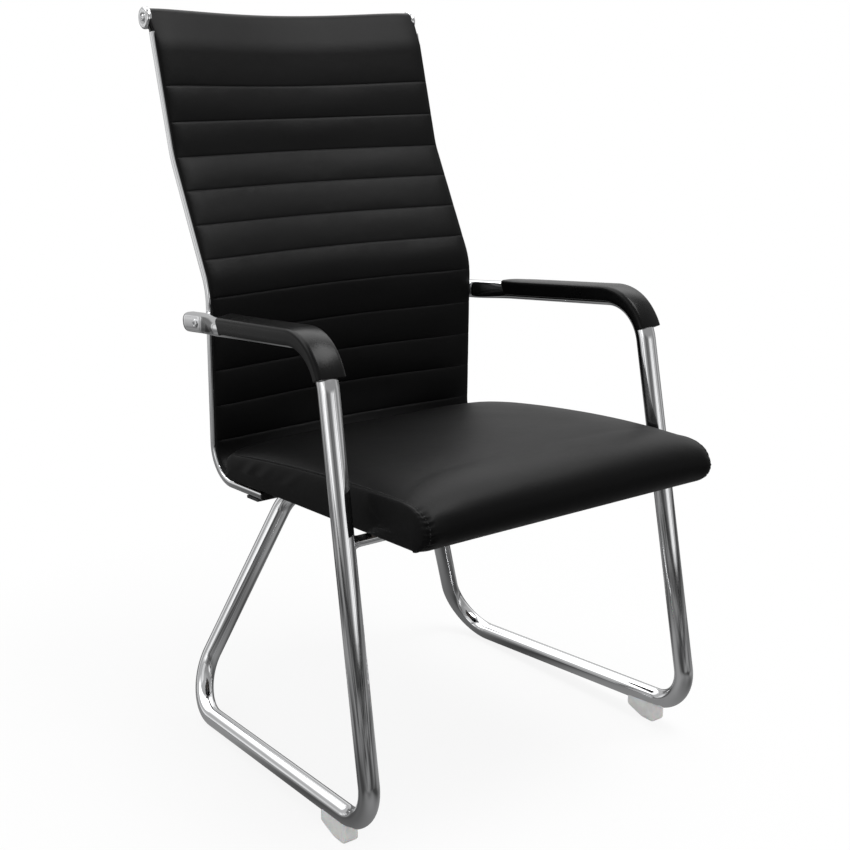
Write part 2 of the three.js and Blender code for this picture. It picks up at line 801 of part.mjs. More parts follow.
// Flat bar behind the sling. Its end lugs lie against the inner faces of the rails, on the arm bolts.
function spreader() {
  const place = armBoltPlace();
  const half = railOuter - railWidth - clearance;
  const inner = half - spreaderThickness;
  const front = place.y - railDepth * 0.45;
  const rear = front + spreaderLug;
  const shape = new THREE.Shape();
  shape.moveTo(half, front);
  shape.lineTo(half, rear);
  shape.quadraticCurveTo(0, rear + spreaderBow * 2, -half, rear);
  shape.lineTo(-half, front);
  shape.lineTo(-inner, front);
  shape.lineTo(-inner, rear - spreaderThickness);
  shape.quadraticCurveTo(0, rear - spreaderThickness + spreaderBow * 2, inner, rear - spreaderThickness);
  shape.lineTo(inner, front);
  const bar = new THREE.ExtrudeGeometry(shape, {
    depth: spreaderHeight, bevelEnabled: false, curveSegments: 14,
  });
  bar.translate(0, 0, place.z - spreaderHeight / 2);
  const bore = rod(boltShank + clearance * 2, place, place.clone().setX(inner - clearance));
  return cut(bar, bore, mirrored(bore));
}

// Points of the seat's outline, drawn in by an amount at the sides and others at the front and rear.
// The points keep the same order and number, so outlines can be joined one above another.
function seatOutline(side, front, rear) {
  const cornerSteps = 5;
  const sideSteps = 4;
  const half = seatHalf - side;
  const halfLength = (seatLength - front - rear) / 2;
  const radius = Math.min(seatCorner + side / 2, half * 0.9);
  const corners = [[1, -1], [1, 1], [-1, 1], [-1, -1]].map(([sx, sy], quarter) => {
    const centre = new THREE.Vector2(sx * (half - radius), sy * (halfLength - radius));
    const points = [];
    for (let i = 0; i <= cornerSteps; i++) {
      const angle = (quarter - 1 + i / cornerSteps) * (Math.PI / 2);
      points.push(new THREE.Vector2(Math.cos(angle), Math.sin(angle)).multiplyScalar(radius).add(centre));
    }
    return points;
  });
  const middle = new THREE.Vector2(0, -rear - halfLength);
  return corners.flatMap((points, quarter) => {
    const last = points[cornerSteps];
    const next = corners[(quarter + 1) % corners.length][0];
    const between = [];
    for (let i = 1; i < sideSteps; i++) between.push(last.clone().lerp(next, i / sideSteps));
    return [...points, ...between];
  }).map((point) => point.add(middle));
}

// Height of the sewn edge of the cushion above its foot, lower towards the rear.
function seatEdgeHeight(y) {
  const ahead = Math.max(0, 1 + y / (seatLength * seatFlatShare));
  return seatEdge - seatRearLoss * ahead ** 2;
}

// Cushion: outlines stacked from its drawn-in foot over the sewn edge to its crown.
function seatCushion() {
  const points = [];
  let count = 0;
  for (const level of seatLevelShares) {
    const outline = seatOutline(
      level.side * seatReach, level.front * seatReach, level.rear * seatReach,
    );
    count = outline.length;
    for (const { x, y } of outline) {
      points.push(new THREE.Vector3(x, y, seatEdgeHeight(y) * level.height + seatCrown * level.crown));
    }
  }
  const middle = -seatLength / 2;
  points.push(new THREE.Vector3(0, middle, 0));
  points.push(new THREE.Vector3(0, middle, seatEdgeHeight(middle) + seatCrown));
  const faces = [];
  const top = (seatLevelShares.length - 1) * count;
  for (let i = 0; i < count; i++) {
    const next = (i + 1) % count;
    for (let level = 0; level < seatLevelShares.length - 1; level++) {
      const base = level * count;
      faces.push(base + i, base + next, base + count + next, base + i, base + count + next, base + count + i);
    }
    faces.push(points.length - 2, next, i);
    faces.push(points.length - 1, top + i, top + next);
  }
  const geometry = new THREE.BufferGeometry().setFromPoints(points);
  geometry.setIndex(faces);
  return geometry;
}

// The board in the seat's underside, or the room that it needs there when it is grown.
function seatBoard(grow) {
  const half = seatHalf - boardSide + grow;
  const length = seatLength - boardRear - boardFront + grow * 2;
  const shape = roundedRectangle(half, length / 2, seatCorner - boardSide + grow);
  const board = new THREE.ExtrudeGeometry(shape, {
    depth: boardThickness + grow * 2, bevelEnabled: false, curveSegments: 3,
  });
  return board.translate(0, -length / 2 - boardRear + grow, -grow);
}

// Turns a piece of the seat from its own level frame to its place on the chair.
function ontoChair(geometry) {
  geometry.rotateX(-Math.atan(seatRiseShare));
  return geometry.translate(0, seatRear.y, seatRear.z);
}

function frontScrewPlace() {
  return new THREE.Vector3(seatHalf - crossScrewIn, crossTubeAxis.y, 0);
}

function buildSeat() {
  const boreDepth = boardThickness * 0.8;
  const tools = [rearScrewPlace(), frontScrewPlace()].map(({ x, y }) => rod(
    screwShank + clearance * 2,
    onSeatPlane(x, y, seatEdge),
    onSeatPlane(x, y, -boreDepth),
  ));
  const both = [...tools, ...tools.map(mirrored)];
  const board = cut(ontoChair(seatBoard(0)), ...both);
  const room = ontoChair(seatBoard(clearance));
  addPiece("seat_board", board, plywood);
  addPiece("seat_cushion", cut(ontoChair(seatCushion()), room), leather);
}

// Plate below the feet of the rails, on top of the two seat bearers.
function rearPlate() {
  const plate = new THREE.BoxGeometry(railOuter * 2, plateWidth, plateThickness);
  plate.rotateX(-Math.atan(seatRiseShare));
  const place = onSeatPlane(0, plateMiddle, plateTop + plateThickness / 2);
  plate.translate(...place);
  const bore = screwBore(rearScrewPlace());
  return cut(plate, bore, mirrored(bore));
}

function rearScrew() {
  const place = rearScrewPlace();
  const seat = onSeatPlane(place.x, place.y, plateTop + plateThickness + clearance * 1.5);
  const length = plateTop + plateThickness + boardThickness / 2;
  return screw(screwShank, screwHead, screwHeadHeight, length, seat, new THREE.Vector3(0, 0, 1));
}

// The front screws go up through the cross tube.
function frontScrew() {
  const seat = frontScrewPlace().setZ(crossTubeAxis.z - crossTubeDiameter / 2 - clearance);
  const length = crossTubeDiameter + boardThickness * 0.7;
  return screw(screwShank, screwHead, screwHeadHeight, length, seat, new THREE.Vector3(0, 0, 1));
}

// Wedge below a front bend, hollowed to hold the tube.
function footPad() {
  const runnerRise = (frontCorner.z - rearCorner.z) / (rearCorner.y - frontCorner.y);
  const axisAt = (y) => rearCorner.z + (rearCorner.y - y) * runnerRise;
  const lip = tubeRadius / 2;
  const shape = new THREE.Shape();
  shape.moveTo(footRear, footHeel);
  shape.lineTo(footKnee, 0);
  shape.lineTo(footFront + footToe, 0);
  shape.quadraticCurveTo(footFront, 0, footFront, footToe);
  shape.lineTo(footFront, axisAt(footFront) - lip);
  shape.lineTo(footRear, axisAt(footRear) - lip);
  const wedge = new THREE.ExtrudeGeometry(shape, {
    depth: footWidth, bevelEnabled: false, curveSegments: 4,
  });
  wedge.rotateY(Math.PI / 2);
  wedge.rotateX(Math.PI / 2);
  const middle = (footRear + footFront) / 2;
  const x = THREE.MathUtils.mapLinear(middle, rearCorner.y, frontCorner.y, rearCorner.x, frontCorner.x);
  wedge.translate(x - footWidth / 2, 0, 0);
  const room = sweep(circleShape(tubeRadius + clearance), frameRoute, frameRoute.stops(), tubeSides);
  return cut(wedge, room);
}

addPair("side_frame", sideFrame(), chrome);
addPair("arm_bolt", armBolt(), chrome);
addPair("arm_shell", armShell(), blackPlastic);
addPiece("front_cross_tube", frontCrossTube(), chrome);
addPair("back_rail", backRail(), chrome);
addPair("rail_plug", railPlug(), blackPlastic);
addPiece("head_bar", headBar(), blackSteel);
addPair("head_cap", headCap(), chrome);
addPair("head_cap_screw", headCapScrew(), chrome);
addPair("rail_bracket", railBracket(), blackPlastic);
addPiece("back_sling", backSling(), leather);
addPiece("back_spreader", spreader(), blackSteel);
buildSeat();
addPiece("rear_plate", rearPlate(), blackSteel);
addPair("rear_seat_screw", rearScrew(), blackSteel);
addPair("front_seat_screw", frontScrew(), blackSteel);
addPair("foot_pad", footPad(), paleRubber);

export default chair;
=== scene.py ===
"""Sled base visitor chair: bent chrome side frames, a ribbed leather sling back and a stuffed seat.

Metres, +Z up, the front faces -Y and the sitter's left is +X.
"""
import math
import bmesh
import bpy
from bpy.props import FloatProperty, FloatVectorProperty, IntProperty, PointerProperty
from mathutils import Matrix, Vector, noise


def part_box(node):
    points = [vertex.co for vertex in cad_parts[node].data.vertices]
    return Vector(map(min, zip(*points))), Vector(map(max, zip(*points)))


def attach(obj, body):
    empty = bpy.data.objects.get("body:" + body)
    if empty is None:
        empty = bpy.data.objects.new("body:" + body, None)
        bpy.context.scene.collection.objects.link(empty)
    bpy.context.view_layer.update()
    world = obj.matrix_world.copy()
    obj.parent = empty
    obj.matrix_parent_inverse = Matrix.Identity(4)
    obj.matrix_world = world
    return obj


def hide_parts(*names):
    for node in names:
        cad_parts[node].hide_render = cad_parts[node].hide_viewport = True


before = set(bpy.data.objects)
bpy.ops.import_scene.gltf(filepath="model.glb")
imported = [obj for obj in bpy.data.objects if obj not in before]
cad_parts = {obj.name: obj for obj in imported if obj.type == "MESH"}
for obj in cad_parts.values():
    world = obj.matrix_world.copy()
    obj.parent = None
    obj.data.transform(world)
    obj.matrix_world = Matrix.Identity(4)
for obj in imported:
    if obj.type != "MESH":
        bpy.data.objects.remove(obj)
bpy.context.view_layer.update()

bl_info = {
    "name": "Sled Base Visitor Chair",
    "version": (1, 0, 0),
    "blender": (4, 5, 0),
    "location": "3D View > Sidebar > Chair",
    "description": "Builds a sled base visitor chair with a ribbed sling back",
    "category": "Object",
}

# Corners of the bent tube on the sitter's left, where two straight stretches would meet, and the
# radii of the bends between them.
TUBE_CORNERS = (
    Vector((0.2566, 0.2170, 0.6166)),
    Vector((0.2734, -0.1890, 0.6530)),
    Vector((0.2880, -0.3070, 0.0410)),
    Vector((0.2680, 0.2330, 0.0088)),
    Vector((0.1273, 0.1407, 0.3544)),
    Vector((0.1190, -0.2304, 0.4009)),
)
TUBE_BENDS = (0.068, 0.056, 0.068, 0.055)

# Corners of the side rail of the back, in the plane of the rail.
RAIL_CORNERS = (
    Vector((0.0, 0.0360, 0.3910)),
    Vector((0.0, 0.1770, 0.3848)),
    Vector((0.0, 0.1725, 0.6670)),
    Vector((0.0, 0.2645, 0.8475)),
    Vector((0.0, 0.3106, 1.0172)),
)
RAIL_BENDS = (0.050, 0.090, 0.150)

# Rear lower edge of the seat, and how much the seat rises for each metre towards the front.
SEAT_REAR = Vector((0.0, 0.138, 0.3995))
SEAT_RISE = 0.044

CLEARANCE = 0.0003
TUBE_FACET = math.radians(3.5)

# Soft folds of the cushion's side panels: where each stands, how it leans and how deep it is.
SIDE_FOLDS = (
    (-0.095, 1.1, 0.0010), (-0.135, 1.3, 0.0008), (-0.20, 1.5, 0.0006), (-0.31, -0.6, 0.0004),
    (-0.41, -1.2, 0.0006),
)

# How bright the room looks to the chrome and the leather. Low down, panels stand all round it, from
# the sitter's right past the front: share of a full turn and brightness.
ROOM_PANELS = (
    (0.00, 1.00), (0.030, 0.98), (0.050, 0.55), (0.070, 0.44), (0.095, 0.20), (0.115, 0.14),
    (0.180, 0.15), (0.200, 0.40), (0.220, 0.55), (0.235, 1.00), (0.290, 1.00), (0.315, 0.52),
    (0.360, 0.48), (0.385, 0.24), (0.415, 0.26), (0.435, 0.48), (0.470, 0.40), (0.520, 0.28),
    (0.550, 0.08), (0.575, 0.10), (0.600, 0.60), (0.690, 0.54), (0.715, 0.12), (0.760, 0.14),
    (0.800, 0.66), (0.855, 0.66), (0.885, 0.34), (0.930, 0.46), (0.960, 0.95), (1.00, 1.00),
)
# What is left of the panels below the horizon, and how steeply down a look goes where they dim.
PANELS_LOW = 0.35
PANELS_DIM = (-0.28, -0.10)
# How steeply up it goes where the panels end, and where the walls end.
PANELS_END = (0.10, 0.24)
WALLS_END = (0.38, 0.64)
# The walls before the chair, behind it, and behind it on the sitter's left.
WALL_BEFORE = 0.30
WALL_BEHIND = 0.50
WALL_BEHIND_LEFT = 0.95
CEILING_BEFORE = 0.44
CEILING_BEHIND = 2.90
FLOOR_NEAR = 0.17
FLOOR_FAR = 0.05


def measure(name, description, default):
    return FloatProperty(name=name, description=description, default=default, unit="LENGTH")


def tone(name, description, default):
    return FloatVectorProperty(
        name=name, description=description, default=default, subtype="COLOR", size=3, min=0.0, max=1.0
    )


class ChairFrameSizes(bpy.types.PropertyGroup):
    tube: measure("Tube", "Diameter of the bent frame tube", 0.028)
    flat_length: measure("Flat length", "Length over which the arm's end is pressed flat", 0.050)
    flat_fade: measure(
        "Flat fade", "Length over which the pressed end turns back into round tube", 0.080
    )
    flat_thickness: measure("Flat thickness", "Thickness of the arm's pressed end", 0.020)
    flat_height: measure("Flat height", "Height of the arm's pressed end", 0.029)
    cross_tube: measure("Cross tube", "Diameter of the tube between the front legs", 0.015)
    bolt: measure("Bolt head", "Diameter of the head of the arm bolt", 0.013)
    sides: IntProperty(
        name="Sides", description="Facets round a tube", default=56, min=12, max=128
    )


class ChairArmSizes(bpy.types.PropertyGroup):
    width: measure("Width", "Width of the moulded arm shell", 0.044)
    cover: measure("Cover", "Thickness of the shell over the tube", 0.003)
    skirt: measure("Skirt", "Depth of the shell's sides below the middle of the tube", 0.0052)
    front_skirt: measure("Front skirt", "The same depth at the shell's front end", -0.0020)
    taper: measure("Taper", "How much narrower each side of the shell is at its front end", 0.0010)
    slant: FloatProperty(
        name="Slant", description="How far the rear end leans forwards for each metre down",
        default=0.40,
    )
    rounding: measure("Rounding", "Radius of the shell's upper edges", 0.0065)
    rear: measure("Rear end", "Distance of the shell's rear end from the arm's nose", 0.140)
    trim: measure("Front trim", "How far the shell ends short of the end of the front bend", 0.015)


class ChairBackSizes(bpy.types.PropertyGroup):
    rail_width: measure("Rail width", "Width of a side rail", 0.018)
    rail_depth: measure("Rail depth", "Depth of a side rail", 0.011)
    rail_rounding: measure("Rail rounding", "Radius of the rail's edges", 0.0028)
    rail_head: measure("Rail head", "How far a rail reaches up over its bracket", 0.008)
    half_width: measure("Half width", "Half of the width over the side rails", 0.240)
    roll: measure("Roll", "Diameter of the leather roll at the head", 0.0272)
    cap: measure("Cap", "Diameter of the end caps of the head bar", 0.0318)
    bow: measure("Bow", "How far the middle of the back bows backwards", 0.020)
    dip: measure("Dip", "How far the middle of the head bar dips", 0.007)
    pitch: measure("Rib pitch", "Distance from seam to seam along the back", 0.0529)
    swell: measure("Swell", "How far the padding of a rib stands proud of its seams", 0.0019)
    first_seam: measure("First seam", "Height of the uppermost seam", 0.947)
    ribs: IntProperty(name="Seams", description="Number of seams across the back", default=11)


class ChairSeatSizes(bpy.types.PropertyGroup):
    half_width: measure("Half width", "Half of the width of the cushion", 0.248)
    length: measure("Length", "Length of the cushion from front to rear", 0.506)
    edge: measure("Edge", "Height of the sewn edge at the front", 0.0547)
    rear_loss: measure("Rear loss", "How much lower the edge is at the rear", 0.024)
    crown: measure("Crown", "Rise of the cushion's middle above its edge", 0.028)
    corner: measure("Corner", "Radius of the cushion's corners seen from above", 0.016)
    rear_corner: measure(
        "Rear corner", "How much further forward the cushion ends at its rear corners", 0.012
    )
    bulge: measure("Side bulge", "How far the side panels stand out from their seam", 0.0035)
    hang: measure("Hang", "How far the side panels hang below the seat board", 0.0045)


class ChairFinishes(bpy.types.PropertyGroup):
    leather: tone("Leather", "Colour of the leather", (0.0017, 0.0017, 0.0018))
    thread: tone("Thread", "Colour of the sewing thread", (0.015, 0.015, 0.016))
    plastic: tone("Plastic", "Colour of the arm shells and plugs", (0.0030, 0.0030, 0.0031))
    chrome: tone("Chrome", "Colour of the plated tube", (0.86, 0.865, 0.875))
    rubber: tone("Foot pads", "Colour of the foot pads", (0.74, 0.74, 0.73))
    steel: tone("Coated steel", "Colour of the black coated steel", (0.018, 0.018, 0.019))
    board: tone("Seat board", "Colour of the stained seat board", (0.055, 0.040, 0.030))


class ChairStage(bpy.types.PropertyGroup):
    camera: FloatVectorProperty(
        name="Camera", description="Place of the camera", size=3, subtype="TRANSLATION",
        default=(-1.169, -1.5926, 0.9979),
    )
    tilt: FloatProperty(
        name="Tilt", description="Downward pitch of the camera", default=math.radians(15.10),
        subtype="ANGLE",
    )
    turn: FloatProperty(
        name="Turn", description="Turn of the camera from straight ahead", default=math.radians(36.81),
        subtype="ANGLE",
    )
    lens: FloatProperty(
        name="Lens", description="Focal length in millimetres", default=58.64
    )
    key: FloatProperty(
        name="Key", description="Power of the large lamp above the chair, in watts", default=32.0
    )
    fill: FloatProperty(
        name="Fill", description="Power of the lamp on the sitter's right, in watts", default=3.0
    )
    ambient: FloatProperty(
        name="Ambient", description="Strength of the even light from all round", default=0.75
    )


def share_between(value, low, high):
    """0 below low, 1 above high, and an even S curve between them."""
    share = min(1.0, max(0.0, (value - low) / (high - low)))
    return share * share * (3.0 - 2.0 * share)


def mix(low, high, share):
    return low + (high - low) * share


def bell(value, width):
    """1 at nought, fading to both sides."""
    return math.exp(-((value / width) ** 2))


def ripple(x, y, x_waves, y_waves, layer):
    """Smooth noise of about -1 to 1, with a pattern of its own in each layer."""
    return noise.noise(Vector((x * x_waves, y * y_waves, layer)))


class Route:
    """Straight stretches joined by round bends."""

    def __init__(self, corners, bends):
        self.stretches = []
        start = corners[0]
        for corner, after, bend in zip(corners[1:-1], corners[2:], bends):
            ahead = (corner - start).normalized()
            onward = (after - corner).normalized()
            turn = ahead.angle(onward)
            reach = bend * math.tan(turn / 2)
            self.add_line(start, corner - ahead * reach)
            self.stretches.append({
                "start": corner - ahead * reach,
                "ahead": ahead,
                "centre": corner + (onward - ahead).normalized() * (bend / math.cos(turn / 2)),
                "axis": ahead.cross(onward).normalized(),
                "turn": turn,
                "length": turn * bend,
            })
            start = corner + onward * reach
        self.add_line(start, corners[-1])
        self.length = sum(stretch["length"] for stretch in self.stretches)

    def add_line(self, start, end):
        along = end - start
        self.stretches.append({
            "start": start, "ahead": along.normalized(), "turn": 0.0, "length": along.length,
        })

    def at(self, distance):
        """Place and direction at a distance along the route."""
        left = distance
        last = self.stretches[-1]
        for stretch in self.stretches:
            if left <= stretch["length"] or stretch is last:
                break
            left -= stretch["length"]
        if not stretch["turn"]:
            return stretch["start"] + stretch["ahead"] * left, stretch["ahead"].copy()
        turned = Matrix.Rotation(left / stretch["length"] * stretch["turn"], 3, stretch["axis"])
        spoke = stretch["start"] - stretch["centre"]
        return stretch["centre"] + turned @ spoke, turned @ stretch["ahead"]

    def stops(self, first, last, facet):
        """Distances from first to last at which a bent shape needs a ring."""
        found = [first]
        done = 0.0
        for stretch in self.stretches:
            steps = max(1, math.ceil(stretch["turn"] / facet))
            for step in range(1, steps + 1):
                stop = done + stretch["length"] * step / steps
                if first + CLEARANCE < stop < last - CLEARANCE:
                    found.append(stop)
            done += stretch["length"]
        found.append(last)
        return found

    def at_height(self, height):
        """Distance at which a rising route passes a height."""
        low, high = 0.0, self.length
        while high - low > CLEARANCE / 100:
            middle = (low + high) / 2
            if self.at(middle)[0].z < height:
                low = middle
            else:
                high = middle
        return low


TUBE_ROUTE = Route(TUBE_CORNERS, TUBE_BENDS)
RAIL_ROUTE = Route(RAIL_CORNERS, RAIL_BENDS)


class Place:
    """Where a ring of a lofted shape stands, with the two directions that its points use."""

    def __init__(self, origin, across, up, distance=0.0):
        self.origin = origin
        self.across = across
        self.up = up
        self.distance = distance


def places_along(route, stops):
    """Places on a route, their across direction kept as close to the chair's width as it can be."""
    places = []
    across = Vector((1.0, 0.0, 0.0))
    for stop in stops:
        point, ahead = route.at(stop)
        across = (across - ahead * across.dot(ahead)).normalized()
        places.append(Place(point, across.copy(), ahead.cross(across), stop))
    return places


def places_across(stations):
    """Places on the chair's width, whose points go backwards and up."""
    return [
        Place(Vector((x, 0.0, 0.0)), Vector((0.0, 1.0, 0.0)), Vector((0.0, 0.0, 1.0)), x)
        for x in stations
    ]


def extrude_ring(bm, edges):
    """Extrudes a ring of edges, and gives the points and the edges of the new one."""
    made = bmesh.ops.extrude_edge_only(bm, edges=edges)["geom"]
    ring = [item for item in made if isinstance(item, bmesh.types.BMVert)]
    edges = [item for item in made if isinstance(item, bmesh.types.BMEdge) and item.is_boundary]
    return ring, edges


def loft(bm, places, outline, capped=True):
    """A ring of points, extruded from place to place, each time set to the outline there."""
    corner = bm.verts.layers.int.get("corner") or bm.verts.layers.int.new("corner")

    def settle(ring, place):
        points = outline(place)
        for vert in ring:
            across, up = points[vert[corner]]
            vert.co = place.origin + place.across * across + place.up * up

    count = len(outline(places[0]))
    ring = bmesh.ops.create_circle(bm, segments=count, radius=1.0)["verts"]
    for index, vert in enumerate(ring):
        vert[corner] = index
    edges = list({edge for vert in ring for edge in vert.link_edges})
    first = list(edges)
    settle(ring, places[0])
    for place in places[1:]:
        ring, edges = extrude_ring(bm, edges)
        settle(ring, place)
    if capped:
        bmesh.ops.holes_fill(bm, edges=first + edges, sides=0)
    return first, edges


def turned(bm, node, rings):
    """Lofts (station, outline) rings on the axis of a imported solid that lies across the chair."""
    low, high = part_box(node)
    middle = (low + high) / 2
    places = places_across([x for x, _ in rings])
    for index, place in enumerate(places):
        place.origin += Vector((0.0, middle.y, middle.z))
        place.distance = index
    loft(bm, places, lambda place: rings[place.distance][1])


def angles_round(sides):
    return [math.tau * index / sides for index in range(sides)]


def circle(radius, sides):
    return [(radius * math.cos(angle), radius * math.sin(angle)) for angle in angles_round(sides)]


def hexagon(size, sides):
    """Points round a hexagon, as many as a circle of so many sides has."""
    points = []
    for angle in angles_round(sides):
        reach = size * math.cos(math.pi / 6) / math.cos(angle % (math.pi / 3) - math.pi / 6)
        points.append((reach * math.cos(angle), reach * math.sin(angle)))
    return points


def rounded_block(half_width, half_height, radius, steps):
    """Points round a block with rounded corners."""
    points = []
    for quarter, (side, level) in enumerate(((1, 1), (-1, 1), (-1, -1), (1, -1))):
        for step in range(steps + 1):
            angle = (quarter + step / steps) * math.pi / 2
            points.append((
                side * (half_width - radius) + radius * math.cos(angle),
                level * (half_height - radius) + radius * math.sin(angle),
            ))
    return points


class Graph:
    """A node tree under construction."""

    def __init__(self, tree):
        self.nodes = tree.nodes
        self.links = tree.links

    def add(self, kind, inputs=None, **settings):
        """A node with its settings, and its inputs set to values or wired to outputs."""
        node = self.nodes.new(kind)
        for name, value in settings.items():
            setattr(node, name, value)
        for name, value in (inputs or {}).items():
            if isinstance(value, bpy.types.NodeSocket):
                self.links.new(value, node.inputs[name])
            else:
                node.inputs[name].default_value = value
        return node

    def math(self, operation, first, second):
        return self.add("ShaderNodeMath", {0: first, 1: second}, operation=operation).outputs["Value"]

    def spread(self, value, low, high, start=0.0, end=1.0, curve="LINEAR"):
        """Carries a value from start to end over to low to high."""
        reach = {"Value": value, "From Min": start, "From Max": end, "To Min": low, "To Max": high}
        return self.add("ShaderNodeMapRange", reach, interpolation_type=curve).outputs["Result"]

    def ramp(self, value, stops):
        """A colour ramp of (position, colour) stops."""
        node = self.add("ShaderNodeValToRGB", {"Fac": value})
        elements = node.color_ramp.elements
        while len(elements) < len(stops):
            elements.new(0.5)
        for element, (position, colour) in zip(elements, stops):
            element.position = position
            element.color = (*colour, 1.0)
        return node.outputs["Color"]

    def either(self, share, below, above):
        """One shader where the share is 0 and the other where it is 1."""
        return self.add("ShaderNodeMixShader", {"Fac": share, 1: below, 2: above}).outputs["Shader"]


class Finish(Graph):
    """A material under construction, read in the chair's own coordinates."""

    def __init__(self, name, **values):
        self.material = bpy.data.materials.new(name)
        self.material.use_nodes = True
        super().__init__(self.material.node_tree)
        self.shader = self.nodes["Principled BSDF"]
        self.place = self.add("ShaderNodeTexCoord").outputs["Object"]
        for socket, value in values.items():
            self.shader.inputs[socket.replace("_", " ")].default_value = value

    def noise(self, scale, detail=2.0, roughness=0.5, stretch=None):
        place = self.place
        if stretch:
            place = self.add("ShaderNodeMapping", {"Vector": place, "Scale": stretch}).outputs["Vector"]
        pattern = {"Vector": place, "Scale": scale, "Detail": detail, "Roughness": roughness}
        return self.add("ShaderNodeTexNoise", pattern).outputs["Fac"]

    def cells(self, scale):
        pattern = {"Vector": self.place, "Scale": scale}
        return self.add("ShaderNodeTexVoronoi", pattern).outputs["Distance"]

    def bump(self, value, height, strength, under=None):
        relief = {"Height": value, "Distance": height, "Strength": strength}
        if under:
            relief["Normal"] = under
        return self.add("ShaderNodeBump", relief).outputs["Normal"]

    def wire(self, value, name):
        self.links.new(value, self.shader.inputs[name])

    def tint(self, value, colour, *stops):
        """Colours the surface by a ramp of (position, brightness) stops."""
        shades = [(position, [min(1.0, part * by) for part in colour]) for position, by in stops]
        self.wire(self.ramp(value, shades), "Base Color")


def leather_finish(colour):
    """Smooth coated leather: a fine pebbled grain, faint creases and a satin surface."""
    finish = Finish("black_leather", IOR=1.23)
    pebbles = finish.cells(820.0)
    fine = finish.noise(2400.0, 2.0)
    creases = finish.noise(46.0, 5.0, 0.62)
    wear = finish.noise(7.0, 3.0)
    grain = finish.bump(finish.spread(pebbles, 0.0, 1.0, 0.0, 0.75), 0.00010, 0.55)
    grain = finish.bump(fine, 0.00004, 0.5, grain)
    grain = finish.bump(creases, 0.0011, 0.30, grain)
    finish.wire(grain, "Normal")
    shade = finish.math("ADD", finish.spread(pebbles, 0.0, 0.5), finish.spread(wear, 0.0, 0.5))
    finish.tint(shade, colour, (0.0, 0.72), (0.5, 1.0), (1.0, 1.45))
    gloss = finish.math("ADD", finish.spread(wear, 0.40, 0.50), finish.spread(fine, -0.04, 0.05))
    finish.wire(gloss, "Roughness")
    return finish.material


def thread_finish(colour):
    """Twisted sewing thread."""
    finish = Finish("sewing_thread", Roughness=0.62)
    twist = finish.noise(1800.0, 2.0, 0.5, (0.5, 2.0, 2.0))
    finish.wire(finish.bump(twist, 0.0001, 0.8), "Normal")
    finish.tint(twist, colour, (0.2, 0.5), (0.8, 1.4))
    return finish.material


def plastic_finish(colour):
    """Moulded satin plastic with a fine spark texture and a few rub marks."""
    finish = Finish("black_plastic", IOR=1.27)
    spark = finish.noise(2600.0, 2.0)
    rubbed = finish.noise(38.0, 4.0, 0.6)
    wear = finish.noise(9.0, 2.0)
    finish.wire(finish.bump(rubbed, 0.0004, 0.12, finish.bump(spark, 0.00005, 0.55)), "Normal")
    finish.tint(rubbed, colour, (0.25, 0.8), (0.75, 1.25))
    gloss = finish.math("ADD", finish.spread(wear, 0.24, 0.32), finish.spread(rubbed, -0.03, 0.05))
    finish.wire(gloss, "Roughness")
    return finish.material


def chrome_finish(colour):
    """Bright plating with a faint ripple, fine wipe marks and a little haze."""
    finish = Finish("frame_chrome", Metallic=1.0)
    waves = finish.noise(16.0, 1.0)
    wipes = finish.noise(120.0, 3.0, 0.6, (3.0, 3.0, 0.4))
    haze = finish.noise(24.0, 4.0, 0.6)
    finish.wire(finish.bump(wipes, 0.00003, 0.35, finish.bump(waves, 0.0012, 0.18)), "Normal")
    finish.tint(haze, colour, (0.3, 0.94), (0.7, 1.0))
    hazed = finish.spread(haze, 0.030, 0.075, 0.3, 0.7)
    finish.wire(finish.math("ADD", hazed, finish.spread(wipes, -0.01, 0.02)), "Roughness")
    return finish.material


def rubber_finish(colour):
    """Milky foot pads with fine scuffs."""
    finish = Finish(
        "pale_rubber", Roughness=0.42, Subsurface_Weight=0.25, Subsurface_Scale=0.006
    )
    cloud = finish.noise(90.0, 3.0)
    scuffs = finish.noise(420.0, 3.0, 0.6)
    finish.wire(finish.bump(scuffs, 0.00015, 0.4), "Normal")
    finish.tint(cloud, colour, (0.3, 0.90), (0.7, 1.04))
    return finish.material


def steel_finish(colour):
    """Black powder coat with its orange peel."""
    finish = Finish("black_steel", Metallic=0.15)
    peel = finish.noise(620.0, 2.0)
    dust = finish.noise(18.0, 4.0)
    finish.wire(finish.bump(peel, 0.0001, 0.5), "Normal")
    finish.tint(dust, colour, (0.35, 1.0), (0.8, 1.6))
    finish.wire(finish.spread(dust, 0.36, 0.52), "Roughness")
    return finish.material


def board_finish(colour):
    """Stained plywood with its grain running across the seat."""
    finish = Finish("seat_plywood")
    grain = finish.noise(60.0, 6.0, 0.65, (0.25, 5.0, 5.0))
    fibre = finish.noise(900.0, 2.0, 0.5, (0.1, 2.0, 2.0))
    finish.wire(finish.bump(fibre, 0.0002, 0.5, finish.bump(grain, 0.0006, 0.3)), "Normal")
    finish.tint(grain, colour, (0.30, 0.55), (0.52, 1.0), (0.72, 1.5))
    finish.wire(finish.spread(fibre, 0.62, 0.80), "Roughness")
    return finish.material


# What makes each finish, and the slot of the visible pieces that wear it.
FINISHES = {
    "leather": (leather_finish, "black_leather"),
    "thread": (thread_finish, "black_leather"),
    "plastic": (plastic_finish, "black_plastic"),
    "chrome": (chrome_finish, "frame_chrome"),
    "rubber": (rubber_finish, "pale_rubber"),
    "steel": (steel_finish, None),
    "board": (board_finish, None),
}
made_finishes = {}


def finish_called(name):
    """The chair's material of that name, made when it is first asked for."""
    if name not in made_finishes:
        colour = getattr(bpy.context.scene.chair_finishes, name)
        made_finishes[name] = FINISHES[name][0](tuple(colour))
    return made_finishes[name]


